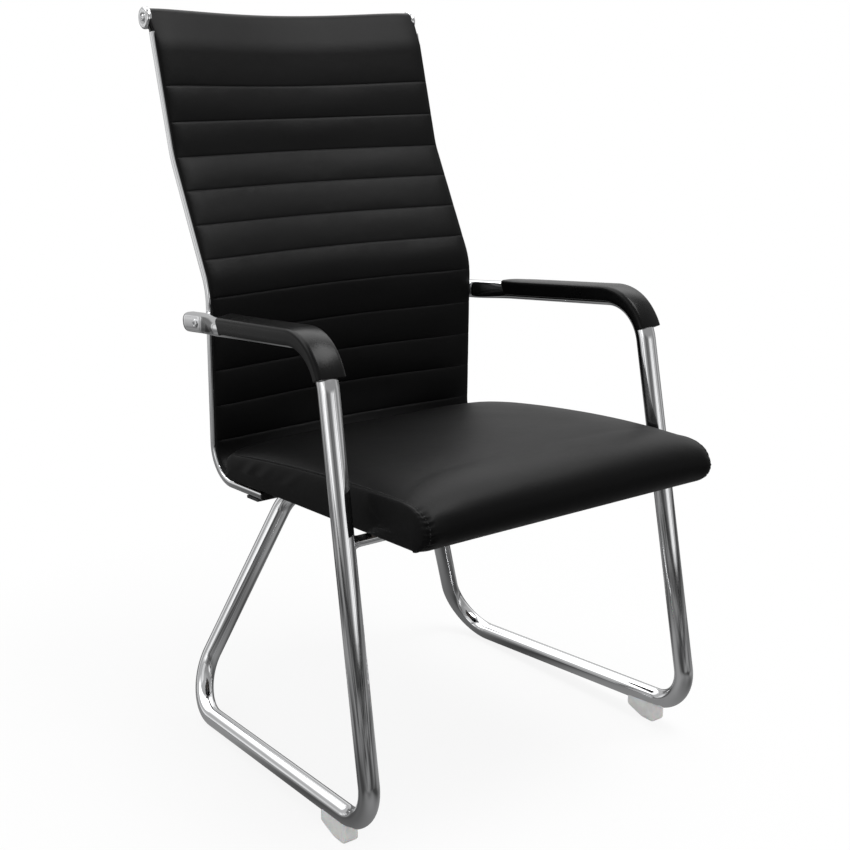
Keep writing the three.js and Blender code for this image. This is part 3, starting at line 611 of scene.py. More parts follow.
def finish_piece(name, bm, finish, crease, nodes=()):
    """Makes an object of a mesh, with its faces out, smooth but for its creases."""
    bmesh.ops.recalc_face_normals(bm, faces=bm.faces)
    mesh = bpy.data.meshes.new(name)
    bm.to_mesh(mesh)
    bm.free()
    mesh.shade_smooth()
    mesh.set_sharp_from_angle(angle=math.radians(crease))
    mesh.materials.append(finish_called(finish))
    piece = bpy.data.objects.new(name, mesh)
    bpy.context.scene.collection.objects.link(piece)
    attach(piece, "root")
    if nodes:
        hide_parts(*nodes)
    return piece


def on_both_sides(name, build, finish, crease):
    """A piece for each side of the chair, that stands for the two solids of its name."""
    for side in ("left", "right"):
        bm = bmesh.new()
        build(bm)
        if side == "right":
            bmesh.ops.scale(bm, vec=(-1.0, 1.0, 1.0), verts=bm.verts)
        finish_piece(f"{name}_{side}_skin", bm, finish, crease, [f"{name}_{side}"])


def dress_nodes(finish, *names):
    """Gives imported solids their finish."""
    for name in names:
        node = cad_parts[name]
        node.data.materials.clear()
        node.data.materials.append(finish_called(finish))


class CHAIR_OT_side_frames(bpy.types.Operator):
    """Bends the two chrome tubes, each an arm, a leg, a runner, a strut and a seat bearer"""

    bl_idname = "chair.side_frames"
    bl_label = "Side frames"

    def execute(self, context):
        sizes = context.scene.chair_frame
        radius = sizes.tube / 2
        flat_middle = context.scene.chair_back.half_width + CLEARANCE + sizes.flat_thickness / 2
        flat_end = sizes.flat_length + sizes.flat_fade
        nose = sizes.flat_height / 2
        nose_narrowing = 0.66
        nose_bluntness = 0.03
        squareness = 0.55
        ring = circle(1.0, sizes.sides)

        def section(place):
            pressed = share_between(flat_end - place.distance, 0.0, sizes.flat_fade)
            square = mix(1.0, squareness, pressed)
            past = max(0.0, 1.0 - place.distance / nose)
            height = mix(radius, nose, pressed) * math.sqrt(max(nose_bluntness, 1.0 - past ** 2))
            width = mix(radius, sizes.flat_thickness / 2, pressed)
            width *= mix(1.0, nose_narrowing, past ** 3)
            shift = mix(0.0, flat_middle - place.origin.x, pressed)
            return [
                (
                    shift + math.copysign(abs(x) ** square, x) * width,
                    math.copysign(abs(y) ** square, y) * height,
                )
                for x, y in ring
            ]

        stops = [nose * (1.0 - math.cos(step / 10 * math.pi / 2)) for step in range(10)]
        stops += [mix(nose, flat_end, step / 30) for step in range(30)]
        stops += TUBE_ROUTE.stops(flat_end, TUBE_ROUTE.length, TUBE_FACET)

        def build(bm):
            loft(bm, places_along(TUBE_ROUTE, stops), section)

        on_both_sides("side_frame", build, "chrome", 40.0)
        return {"FINISHED"}


class CHAIR_OT_arm_bolts(bpy.types.Operator):
    """Turns the socket bolts that hold the arms to the back"""

    bl_idname = "chair.arm_bolts"
    bl_label = "Arm bolts"

    def execute(self, context):
        low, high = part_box("arm_bolt_left")
        radius = context.scene.chair_frame.bolt / 2
        shank = 0.003
        head_height = 0.0035
        seat = high.x - head_height
        sides = 36
        rings = [
            (low.x, circle(shank * 0.8, sides)),
            (low.x + 0.0006, circle(shank, sides)),
            (seat, circle(shank, sides)),
        ]
        head = ((0.0, 1.0), (0.0007, 1.0), (0.0013, 0.95), (0.0017, 0.84), (0.0019, 0.70))
        socket = ((0.0019, 0.40), (0.0018, 0.37), (0.0005, 0.36))
        rings += [(seat + rise, circle(radius * share, sides)) for rise, share in head]
        rings += [(seat + rise, hexagon(radius * share, sides)) for rise, share in socket]
        on_both_sides("arm_bolt", lambda bm: turned(bm, "arm_bolt_left", rings), "chrome", 32.0)
        return {"FINISHED"}


class CHAIR_OT_arm_shells(bpy.types.Operator):
    """Moulds the two plastic shells over the arms"""

    bl_idname = "chair.arm_shells"
    bl_label = "Arm shells"

    # Height over which the foot of a shell's side rounds off.
    foot = 0.002
    edge_bevel = 0.0009
    # Middle of the arm at the shell's rear end, which reaches further back on the arm's outer side
    # than on its inner side, and the stretch of the chair's depth where it is cut so.
    rear_middle = TUBE_CORNERS[0].x + 0.006
    outer_reach = 0.014
    inner_reach = -0.010
    cut_from = 0.05
    cut_whole = 0.08

    def execute(self, context):
        tube = context.scene.chair_frame.tube / 2
        sizes = context.scene.chair_arm
        bend_start = TUBE_ROUTE.stretches[0]["length"]
        end = bend_start + TUBE_ROUTE.stretches[1]["length"] - sizes.trim
        channel = tube + CLEARANCE * 2
        rounding = sizes.rounding
        crown = sizes.cover * 0.3

        def section(place):
            turned_down = share_between(place.distance, bend_start - 0.01, end)
            half = sizes.width / 2 - sizes.taper * turned_down
            top = tube + sizes.cover * (1.0 + 0.25 * math.sin(math.pi * turned_down))
            skirt = mix(sizes.skirt, sizes.front_skirt, turned_down)
            low = self.foot - skirt
            outer = [(half - 0.0016, -skirt), (half - 0.0004, -skirt + 0.0006), (half, low)]
            outer += [(half, mix(low, top - rounding, step / 3)) for step in (1, 2)]
            flat = half - rounding
            for step in range(9):
                angle = step / 8 * math.pi / 2
                outer.append((
                    flat + rounding * math.cos(angle), top - rounding + rounding * math.sin(angle)
                ))
            outer += [
                (flat * (1 - share), top + crown * (1 - (1 - share) ** 2))
                for share in (0.25, 0.5, 0.75)
            ]
            mouth = math.asin(min(0.98, skirt / channel))
            inner = []
            for step in range(25):
                angle = mix(math.pi + mouth, -mouth, step / 24)
                inner.append((channel * math.cos(angle), channel * math.sin(angle)))
            return outer + [(0.0, top + crown)] + [(-x, y) for x, y in reversed(outer)] + inner

        dense = 0.02
        bent = TUBE_ROUTE.stops(sizes.rear + dense, end, TUBE_FACET)
        stops = [sizes.rear + dense * share for share in (0.0, 0.25, 0.5, 0.75)] + bent[:1]
        stops += [mix(bent[0], bent[1], step / 12) for step in range(1, 12)] + bent[1:]

        def build(bm):
            first, last = loft(bm, places_along(TUBE_ROUTE, stops), section)
            bmesh.ops.bevel(
                bm, geom=[edge for edge in first + last if edge.is_valid], offset=self.edge_bevel,
                segments=3, profile=0.5, affect="EDGES", material=-1,
            )
            self.cut_rear_end(bm, sizes, TUBE_ROUTE.at(sizes.rear)[0].z + tube + sizes.cover)

        on_both_sides("arm_shell", build, "plastic", 38.0)
        return {"FINISHED"}

    def cut_rear_end(self, bm, sizes, highest):
        """Slants the rear end, from above and from the side."""
        for vert in bm.verts:
            near = share_between(vert.co.y, self.cut_from, self.cut_whole)
            inward = (self.rear_middle - vert.co.x) / sizes.width + 0.5
            reach = mix(self.inner_reach, self.outer_reach, min(1.0, max(0.0, inward)))
            vert.co.y += near * (reach - sizes.slant * (highest - vert.co.z))


class CHAIR_OT_cross_tube(bpy.types.Operator):
    """Makes the tube between the front legs, with its welded saddles"""

    bl_idname = "chair.cross_tube"
    bl_label = "Cross tube"

    def execute(self, context):
        radius = context.scene.chair_frame.cross_tube / 2
        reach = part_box("front_cross_tube")[1].x + 0.002
        saddle = ((0.0, 1.30), (0.004, 1.28), (0.0065, 1.12), (0.010, 1.02), (0.014, 1.0))
        half = [(reach - inset, circle(radius * share, 40)) for inset, share in saddle]
        bm = bmesh.new()
        turned(bm, "front_cross_tube", [(-x, ring) for x, ring in half] + half[::-1])
        finish_piece("front_cross_tube_skin", bm, "chrome", 40.0, ["front_cross_tube"])
        return {"FINISHED"}


class CHAIR_OT_back_rails(bpy.types.Operator):
    """Bends the flat side rails of the back and closes their feet"""

    bl_idname = "chair.back_rails"
    bl_label = "Back rails"

    def execute(self, context):
        sizes = context.scene.chair_back
        outline = rounded_block(sizes.rail_width / 2, sizes.rail_depth / 2, sizes.rail_rounding, 5)
        shift = Vector((sizes.half_width - sizes.rail_width / 2, 0.0, 0.0))
        stops = RAIL_ROUTE.stops(0.0, RAIL_ROUTE.length + sizes.rail_head, math.radians(1.5))

        def build(bm):
            places = places_along(RAIL_ROUTE, stops)
            for place in places:
                place.origin += shift
            loft(bm, places, lambda place: outline)

        on_both_sides("back_rail", build, "chrome", 50.0)
        dress_nodes("plastic", "rail_plug_left", "rail_plug_right")
        dress_nodes("plastic", "rail_bracket_left", "rail_bracket_right")
        return {"FINISHED"}


class CHAIR_OT_head_caps(bpy.types.Operator):
    """Turns the chrome end caps of the head bar and their screws"""

    bl_idname = "chair.head_caps"
    bl_label = "Head caps"

    def execute(self, context):
        radius = context.scene.chair_back.cap / 2
        low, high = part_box("head_cap_left")
        depth = high.x - low.x
        recess = 0.88
        screw_face = low.x + depth * recess + CLEARANCE
        sides = 56
        cap = (
            (0.0, 0.90), (0.04, 0.95), (0.14, 1.0), (0.62, 1.0), (0.80, 0.975), (0.93, 0.90),
            (0.98, 0.82), (1.0, 0.74), (1.0, 0.46), (0.90, 0.40), (recess, 0.20),
        )
        screw = (
            (0.0, 0.30), (0.0009, 0.30), (0.0017, 0.26), (0.0021, 0.17), (0.0021, 0.12),
            (0.0010, 0.10),
        )

        def build_cap(bm):
            turned(bm, "head_cap_left", [
                (low.x + depth * along, circle(radius * share, sides)) for along, share in cap
            ])

        def build_screw(bm):
            turned(bm, "head_cap_left", [
                (screw_face + rise, circle(radius * share, sides)) for rise, share in screw
            ])

        on_both_sides("head_cap", build_cap, "chrome", 45.0)
        on_both_sides("head_cap_screw", build_screw, "chrome", 45.0)
        dress_nodes("steel", "head_bar", "back_spreader")
        return {"FINISHED"}


class SlingShape:
    """The leather back: padded ribs on a sheet that hangs between the rails and wraps the head bar."""

    half = 0.237
    # Thickness of the plain leather and of the hem below the seat, and the stretch of the chair's
    # depth over which one turns into the other.
    sheet = 0.0046
    hem = 0.0064
    hem_ends = (0.099, 0.127)
    # Distances from the outer edge over which the leather is rounded, and the padding begins.
    edge_rounding = 0.009
    padding_begins = (-0.004, 0.020)
    # Heights above the rail's lower corner between which the ribs come up.
    ribs_begin = (0.011, 0.066)
    # How far before and after the end of the rail's lower bend the back turns from flat to bowed.
    bow_begins = 0.05
    rib_roundness = 2.3
    # Puckers beside a seam but not on it, unevenness of the padding, and the groove of a seam.
    pucker_depth = 0.00042
    pucker_reach = 0.0085
    sewn_reach = 0.0015
    drift_depth = 0.0009
    groove_depth = 0.0007
    groove_reach = 0.0011
    slack = 0.0012
    # How far from the rail's ends the leather starts, and its rear face ends.
    foot = 0.006
    roll_end = 0.003
    roll_wrap = math.radians(262.0)
    # Rows of points of the front face, as shares of a rib and of the head above the first seam.
    rib_rows = (
        0.0, 0.012, 0.03, 0.06, 0.11, 0.19, 0.30, 0.43, 0.57, 0.70, 0.81, 0.89, 0.94, 0.97, 0.988,
    )
    head_rows = (0.0, 0.01, 0.03, 0.06, 0.11, 0.19, 0.3, 0.42, 0.56, 0.7, 0.84)

    def __init__(self, sizes):
        self.sizes = sizes
        self.hollow = sizes.half_width - sizes.rail_width - CLEARANCE * 2
        self.first_seam = RAIL_ROUTE.at_height(sizes.first_seam)
        self.seams = [self.first_seam - sizes.pitch * index for index in range(sizes.ribs)]
        self.rows = self.front_rows()
        low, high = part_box("head_cap_left")
        self.roll_centre = (low + high) / 2

    def front_rows(self):
        """Distances along the rail of the rows of the front face, close together at the seams."""
        lowest = self.seams[-1]
        pitch = self.sizes.pitch
        head = RAIL_ROUTE.length - self.first_seam
        rows = [mix(self.foot, lowest, step / 22) for step in range(22)]
        rows += [lowest - pitch * share for share in (0.06, 0.03, 0.012)]
        for index in range(self.sizes.ribs - 1):
            rows += [lowest + pitch * (index + share) for share in self.rib_rows]
        rows += [self.first_seam + head * share for share in self.head_rows]
        return sorted(rows)

    def bow(self, x):
        return max(0.0, 1.0 - (x / self.hollow) ** 2) ** 1.5

    def rib(self, distance):
        """Share of a rib's fullest padding at a distance along the rail, and nearness to a seam."""
        pitch = self.sizes.pitch
        lowest = self.seams[-1]
        if distance >= self.first_seam:
            seam = distance - self.first_seam
            share = seam / (RAIL_ROUTE.length - self.first_seam)
            return (1.0 - abs(share - 1.0) ** 5.0) * (1.0 - 0.65 * share), seam
        if distance <= lowest:
            seam = lowest - distance
            return 1.0 - max(0.0, 1.0 - 2.0 * seam / pitch) ** 3.0, seam
        share = (distance - lowest) / pitch % 1.0
        fullness = 1.0 - abs(2.0 * share - 1.0) ** self.rib_roundness
        return fullness, min(share, 1.0 - share) * pitch

    def behind(self, distance, x):
        """A point of the sheet's rear face, and the way that the back faces there."""
        point, ahead = RAIL_ROUTE.at(distance)
        forward = Vector((0.0, -ahead.z, ahead.y))
        bend_end = RAIL_ROUTE.stretches[0]["length"] + RAIL_ROUTE.stretches[1]["length"]
        risen = share_between(distance, bend_end - self.bow_begins, bend_end + self.bow_begins)
        sunk = share_between(point.z, RAIL_CORNERS[3].z, RAIL_CORNERS[4].z)
        bow = self.bow(x) * risen
        point = point + forward * (self.sizes.rail_depth / 2 + CLEARANCE * 2)
        point.x = x
        point.y += bow * self.sizes.bow
        point.z -= bow * self.sizes.dip * sunk
        return point, forward

    def front(self, distance, x):
        """A point of the padded front face."""
        point, forward = self.behind(distance, x)
        rail = RAIL_ROUTE.at(distance)[0]
        lower, upper = (RAIL_CORNERS[1].z + rise for rise in self.ribs_begin)
        swell, seam = self.rib(distance)
        swell *= share_between(rail.z, lower, upper)
        inside = max(0.0, self.half - abs(x))
        rounded = math.sqrt(max(0.0, 1.0 - max(0.0, 1.0 - inside / self.edge_rounding) ** 2))
        padded = share_between(inside, *self.padding_begins)
        under_seat = 1.0 - share_between(rail.y, *self.hem_ends)
        thickness = mix(self.sheet, self.hem, under_seat) * mix(0.45, 1.0, rounded)
        thickness += self.sizes.swell * swell * padded
        pucker = ripple(x, distance, 95.0, 21.0, 3.7) * bell(seam, self.pucker_reach)
        pucker *= 1.0 - bell(seam, self.sewn_reach)
        drift = ripple(x, distance, 9.0, 15.0, 8.1) * swell
        thickness += (self.pucker_depth * pucker + self.drift_depth * drift) * padded
        thickness -= self.groove_depth * bell(seam, self.groove_reach) * rounded
        return point + forward * thickness

    def rear(self, distance, x):
        """A point of the rear face, where the leather hangs a little slack between the rails."""
        point, forward = self.behind(distance, x)
        slack = 0.5 + 0.5 * ripple(x, distance, 6.0, 9.0, 2.4)
        free = share_between(self.hollow - abs(x), 0.0, 0.04) * share_between(distance, 0.16, 0.22)
        return point + forward * (self.slack * slack * free)

    def roll(self, x, last):
        """Points from the top of the front face round the head bar."""
        radius = self.sizes.roll / 2
        bow = self.bow(x)
        centre = Vector((
            x, self.roll_centre.y + bow * self.sizes.bow, self.roll_centre.z - bow * self.sizes.dip
        ))
        tangent = math.acos(min(1.0, radius / (last - centre).length))
        start = (math.atan2(last.z - centre.z, last.y - centre.y) - tangent) % math.tau

        def rim(angle):
            return centre + Vector((0.0, math.cos(angle), math.sin(angle))) * radius

        points = [last.lerp(rim(start), share) for share in (0.25, 0.5, 0.75)]
        return points + [rim(start - self.roll_wrap * step / 29) for step in range(30)]

    def outline(self, place):
        """The closed outline of the leather at a distance from the middle of the chair."""
        x = place.distance
        points = [self.front(distance, x) for distance in self.rows]
        points += self.roll(x, points[-1])
        top = RAIL_ROUTE.length - self.roll_end
        points += [self.rear(mix(top, self.foot, step / 70), x) for step in range(71)]
        return [(point.y, point.z) for point in points]

    def build(self, bm):
        inner = self.half - 0.010
        rim = [self.half - inset for inset in (0.0, 0.0006, 0.0018, 0.0036, 0.0062)]
        stations = [-x for x in rim] + [mix(-inner, inner, step / 118) for step in range(119)]
        loft(bm, places_across(stations + rim[::-1]), self.outline)


def sew_row(threads, stitches, pitch, width):
    """A row of stitches, each given by its middle, the way along its seam and the way out."""
    length = pitch * 0.72
    row = bmesh.new()
    for middle, along, out in stitches:
        side = along.cross(out).normalized()
        out = side.cross(along).normalized()
        shape = Matrix((along * length / 2, side * width / 2, out * width / 2)).transposed()
        bmesh.ops.create_icosphere(
            row, subdivisions=1, radius=1.0, matrix=Matrix.Translation(middle) @ shape.to_4x4()
        )
    carried = bpy.data.meshes.new("row")
    row.to_mesh(carried)
    row.free()
    threads.from_mesh(carried)
    bpy.data.meshes.remove(carried)


class CHAIR_OT_back_sling(bpy.types.Operator):
    """Sews the ribbed leather back, with its roll round the head bar and its stitching"""

    bl_idname = "chair.back_sling"
    bl_label = "Back sling"

    stitch_pitch = 0.0044
    stitch_width = 0.0009
    stitch_margin = 0.006

    def execute(self, context):
        shape = SlingShape(context.scene.chair_back)
        bm = bmesh.new()
        shape.build(bm)
        sling = finish_piece("back_sling_leather", bm, "leather", 60.0, ["back_sling"])
        pitch = self.stitch_pitch
        count = int((shape.half - self.stitch_margin) * 2 / pitch)
        middles = [(index - (count - 1) / 2) * pitch for index in range(count)]
        between_rails = [x for x in middles if abs(x) < shape.hollow - pitch]
        threads = bmesh.new()
        for seam in shape.seams:
            for face, row in ((shape.front, middles), (shape.rear, between_rails)):
                stitches = []
                for x in row:
                    middle = face(seam, x)
                    along = face(seam, x + pitch / 3) - middle
                    stitches.append((middle, along.normalized(), shape.behind(seam, x)[1]))
                sew_row(threads, stitches, pitch, self.stitch_width)
        finish_piece("back_sling_thread", threads, "thread", 60.0)
        return {"FINISHED"}


class CushionShape:
    """The seat: a top panel that rolls over the front, sewn to a side panel at each side.

    It is shaped in a frame of its own, on the rear lower edge of the seat and in its slope.
    """

    seam_inset = 0.002
    # Points of the outline round the rear, along the top and round the front.
    rear_steps = 16
    top_steps = 66
    front_steps = 56
    # How far the seat board stays behind the front and before the rear, and its pocket's height.
    board_front = 0.030
    board_rear = 0.011
    board_thickness = 0.0123
    pocket_slope = 0.0004
    # Share of the length over which the sewn edge rises from the rear.
    edge_rise = 0.875
    # How far from a seam, and from the front and the rear, the stuffing fills the leather.
    side_filling = 0.033
    end_filling = 0.05
    roll_filling = 0.03
    # Depths of the rolls over the front and the rear, at the sides and in the middle, how far they
    # stand out and how far they are tucked in below.
    front_roll = (0.044, 0.085)
    front_bulge = 0.013
    front_tuck = 0.022
    rear_roll = (0.026, 0.034)
    rear_bulge = 0.003
    rear_tuck = 0.006
    rear_corner_reach = 0.024
    # Shares of the corner's rounding that the front and the rear show.
    front_draw = 0.75
    rear_draw = 0.45
    pinch_depth = 0.0022
    pinch_reach = 0.0016
    # Gathers at the front corners, fainter on the sitter's left, and the pulls that run from them.
    gather_depth = 0.0015
    gather_inset = 0.004
    gather_reach = 0.005
    left_gathers = 0.45
    pull_depth = 0.0011
    pull_reach = 0.045
    # Distances of the outlines from the side seam.
    insets = (
        0.0, 0.0008, 0.0017, 0.0028, 0.0042, 0.0047, 0.0053, 0.0062, 0.0085, 0.011, 0.014, 0.018,
        0.023, 0.029, 0.036, 0.044, 0.053, 0.064, 0.078, 0.094, 0.112, 0.132, 0.154, 0.178, 0.203,
        0.2255,
    )
    # Rings of a side panel, and the line towards which they close.
    side_steps = 14
    spine_rear = -0.040
    spine_front = 0.032
    spine_height = 0.48
    unevenness = 0.0006

    def __init__(self, sizes):
        self.sizes = sizes
        self.seam = sizes.half_width - self.seam_inset
        self.board_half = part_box("seat_board")[1].x

    def fullness(self, inside, reach):
        return 1.0 - math.exp(-max(0.0, inside) / reach)

    def edge_height(self, y):
        ahead = max(0.0, 1.0 + y / (self.sizes.length * self.edge_rise))
        return self.sizes.edge - self.sizes.rear_loss * ahead ** 2

    def top(self, x, y):
        """Height of the top panel, y counted from the rear edge and negative forwards."""
        side = self.fullness(self.seam - abs(x), self.side_filling)
        rear = self.fullness(-y, self.end_filling)
        front = self.fullness(self.sizes.length + y, self.end_filling)
        soft = ripple(x, y, 7.0, 7.0, 1.3) * 0.0012 + ripple(x, y, 22.0, 16.0, 5.3) * 0.0005
        return self.edge_height(y) + self.sizes.crown * side * rear * front + soft * side

    def curve(self, points, steps):
        """Points on a curve with four control points, without its end."""
        found = []
        for step in range(steps):
            share = step / steps
            keep = 1.0 - share
            weights = (keep ** 3, 3 * keep ** 2 * share, 3 * keep * share ** 2, share ** 3)
            found.append(tuple(
                sum(weight * point[axis] for weight, point in zip(weights, points))
                for axis in (0, 1)
            ))
        return found

    def profile(self, x):
        """The closed outline of the cushion at a distance from its middle."""
        sizes = self.sizes
        inside = max(0.0, self.seam - abs(x))
        full = self.fullness(inside, self.roll_filling)
        turn = max(0.0, 1.0 - inside / sizes.corner)
        draw = sizes.corner * (1.0 - math.sqrt(max(0.0, 1.0 - turn ** 2)))
        front = draw * self.front_draw - sizes.length
        rear = -draw * self.rear_draw
        rear -= sizes.rear_corner * math.exp(-inside / self.rear_corner_reach)
        front_end = front + mix(*self.front_roll, full)
        rear_end = rear - mix(*self.rear_roll, full)
        front_top = self.top(x, front_end)
        rear_top = self.top(x, rear_end)
        points = self.curve(
            (
                (rear - self.rear_tuck, 0.0),
                (rear + self.rear_bulge, rear_top * 0.35),
                (rear + self.rear_bulge, rear_top * 0.98),
                (rear_end, rear_top),
            ),
            self.rear_steps,
        )
        for step in range(self.top_steps):
            y = mix(rear_end, front_end, step / self.top_steps)
            points.append((y, self.top(x, y)))
        foot = (front + self.front_tuck, 0.0)
        points += self.curve(
            (
                (front_end, front_top),
                (front - self.front_bulge, front_top * 0.985),
                (front - self.front_bulge, front_top * 0.16),
                foot,
            ),
            self.front_steps,
        )
        points.append(foot)
        pocket = self.board_thickness if abs(x) < self.board_half + CLEARANCE else 0.0
        board_front = self.board_front - sizes.length - CLEARANCE
        board_rear = CLEARANCE - self.board_rear
        points.append((board_front - self.pocket_slope, 0.0))
        points += [(mix(board_front, board_rear, step / 20), pocket) for step in range(21)]
        points.append((board_rear + self.pocket_slope, 0.0))
        return points

    def gathers(self, along, x):
        """How far the leather is gathered into a seam, so many points past the top of the front."""
        last = self.front_steps - 8
        if not 4 < along < last:
            return 0.0
        inside = self.seam - abs(x)
        strength = share_between(along, 4, 16) * (1.0 - share_between(along, last - 8, last))
        folds = math.sin(along * 1.35 + 0.9 * math.sin(along * 0.37))
        folds *= 0.6 + 0.8 * noise.noise(Vector((along * 0.23, 2.0, 7.0)))
        if x > 0.0:
            strength *= self.left_gathers
        folds *= self.gather_depth * bell(inside - self.gather_inset, self.gather_reach)
        pulls = ripple(abs(x), along, 40.0, 0.10, 4.0 if x > 0.0 else 9.0)
        pulls *= self.pull_depth * math.exp(-inside / self.pull_reach)
        return strength * folds + pulls * share_between(along, 10, 26)

    def outline(self, place):
        """The outline with its pinched seams and gathers."""
        x = place.distance
        points = self.profile(x)
        top_end = self.rear_steps + self.top_steps
        sewn = top_end + self.front_steps + 1
        pinch = -self.pinch_depth * bell(self.seam - abs(x), self.pinch_reach)
        placed = []
        for index, (y, z) in enumerate(points):
            before, after = points[index - 1], points[(index + 1) % len(points)]
            along = Vector((after[0] - before[0], after[1] - before[1]))
            if index < sewn and along.length > 1e-7:
                along.normalize()
                lift = pinch + self.gathers(index - top_end, x)
                y -= along.y * lift
                z += along.x * lift
            placed.append((y, z))
        return placed

    def folds(self, side, y, z):
        """How far the folds of a side panel stand out."""
        found = noise.noise(Vector((side * 3.0, y * 14.0, z * 20.0))) * self.unevenness
        for start, slope, depth in SIDE_FOLDS:
            line = y - start + (z - 0.03) * slope
            found += depth * (bell(line, 0.009) - 0.7 * bell(line - 0.019, 0.011))
        return found

    def close_side(self, bm, edges, side):
        """Closes a side with a panel that stands out from its seam and pulls into a few folds."""
        corner = bm.verts.layers.int["corner"]
        sizes = self.sizes
        points = self.outline(Place(None, None, None, side * self.seam))
        for step in range(1, self.side_steps + 1):
            ring, edges = extrude_ring(bm, edges)
            share = 0.92 * (step / self.side_steps) ** 1.25
            bulge = sizes.bulge * math.sqrt(1.0 - (1.0 - share) ** 2)
            for vert in ring:
                y, z = points[vert[corner]]
                spine_y = min(self.spine_rear, max(self.spine_front - sizes.length, y))
                y = mix(y, spine_y, share)
                z = mix(z, self.edge_height(spine_y) * self.spine_height, share)
                low = share_between(0.012 - z, 0.0, 0.012) * share_between(share, 0.0, 0.25)
                z -= low * sizes.hang * share_between(y + sizes.length, 0.02, 0.10)
                out = self.seam + bulge + self.folds(side, y, z) * math.sqrt(share)
                vert.co = Vector((side * out, y, z))
        filled = bmesh.ops.holes_fill(bm, edges=edges, sides=0)["faces"]
        bmesh.ops.triangulate(bm, faces=filled)

    def build(self, bm):
        half = [self.seam - inset for inset in self.insets]
        stations = [-x for x in half] + [0.0] + half[::-1]
        first, last = loft(bm, places_across(stations), self.outline, capped=False)
        self.close_side(bm, last, 1)
        self.close_side(bm, first, -1)

    def onto_chair(self, bm):
        slope = Matrix.Rotation(-math.atan(SEAT_RISE), 4, "X")
        bmesh.ops.transform(bm, matrix=Matrix.Translation(SEAT_REAR) @ slope, verts=bm.verts)


class CHAIR_OT_seat_cushion(bpy.types.Operator):
    """Sews the seat cushion with its gathered front corners"""

    bl_idname = "chair.seat_cushion"
    bl_label = "Seat cushion"

    stitch_pitch = 0.0050
    stitch_width = 0.0010
    stitch_inset = 0.0045

    def execute(self, context):
        shape = CushionShape(context.scene.chair_seat)
        bm = bmesh.new()
        shape.build(bm)
        shape.onto_chair(bm)
        cushion = finish_piece("seat_cushion_leather", bm, "leather", 70.0, ["seat_cushion"])
        self.sew(shape)
        return {"FINISHED"}

    def sew(self, shape):
        """Top stitching along both side seams, down to the foot of the front corners."""
        threads = bmesh.new()
        for side in (-1, 1):
            x = side * (shape.seam - self.stitch_inset)
            points = [Vector((x, y, z)) for y, z in shape.outline(Place(None, None, None, x))]
            path = points[2:shape.rear_steps + shape.top_steps + shape.front_steps - 2]
            stitches = []
            carried = 0.0
            for start, end in zip(path, path[1:]):
                step = end - start
                while carried < step.length:
                    along = step.normalized()
                    out = Vector((side * -0.35, along.z, -along.y))
                    stitches.append((start + along * carried, along, out))
                    carried += self.stitch_pitch
                carried -= step.length
            sew_row(threads, stitches, self.stitch_pitch, self.stitch_width)
        shape.onto_chair(threads)
        finish_piece("seat_cushion_thread", threads, "thread", 60.0)


class CHAIR_OT_seat_underside(bpy.types.Operator):
    """Finishes the seat board, the rear plate and the screws below the seat"""

    bl_idname = "chair.seat_underside"
    bl_label = "Seat underside"

    def execute(self, context):
        dress_nodes("board", "seat_board")
        dress_nodes("steel", "rear_plate", "rear_seat_screw_left", "rear_seat_screw_right")
        dress_nodes("steel", "front_seat_screw_left", "front_seat_screw_right")
        return {"FINISHED"}


class CHAIR_OT_foot_pads(bpy.types.Operator):
    """Moulds the pale wedges below the front bends"""

    bl_idname = "chair.foot_pads"
    bl_label = "Foot pads"

    # Where a pad leaves the floor, how high its rear end then stands, and how it is rounded.
    knee = -0.228
    heel = 0.0115
    toe = 0.007
    corner = 0.0055
    edge_rounding = 0.0032

    def execute(self, context):
        low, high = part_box("foot_pad_left")
        tube = context.scene.chair_frame.tube / 2
        middle = Vector(((low.x + high.x) / 2, 0.0, 0.0))
        runner_rear = TUBE_CORNERS[3]
        runner = TUBE_CORNERS[2] - runner_rear
        stations = [mix(high.y, low.y, (1.0 - math.cos(step / 30 * math.pi)) / 2) for step in range(31)]

        def floor_at(y):
            if y > self.knee:
                return self.heel * max(0.0, (y - self.knee) / (high.y - self.knee)) ** 1.15
            past = max(0.0, (low.y + self.toe - y) / self.toe)
            return self.toe * (1.0 - math.sqrt(max(0.0, 1.0 - past ** 2)))

        def section(place):
            y = place.distance
            end = max(0.0, self.corner - min(high.y - y, y - low.y))
            half = (high.x - low.x) / 2 - self.corner
            half += math.sqrt(max(0.0, self.corner ** 2 - end ** 2))
            base = floor_at(y)
            lip = runner_rear.z + runner.z * (y - runner_rear.y) / runner.y - tube * 0.42
            block = rounded_block(half, (lip - base) / 2, self.edge_rounding, 4)
            return [(x, z + (lip + base) / 2) for x, z in block]

        def build(bm):
            across, up = Vector((1.0, 0.0, 0.0)), Vector((0.0, 0.0, 1.0))
            places = [Place(middle + Vector((0.0, y, 0.0)), across, up, y) for y in stations]
            loft(bm, places, section)

        on_both_sides("foot_pad", build, "rubber", 50.0)
        return {"FINISHED"}


def grey(level):
    return (level, level, level, 1.0)


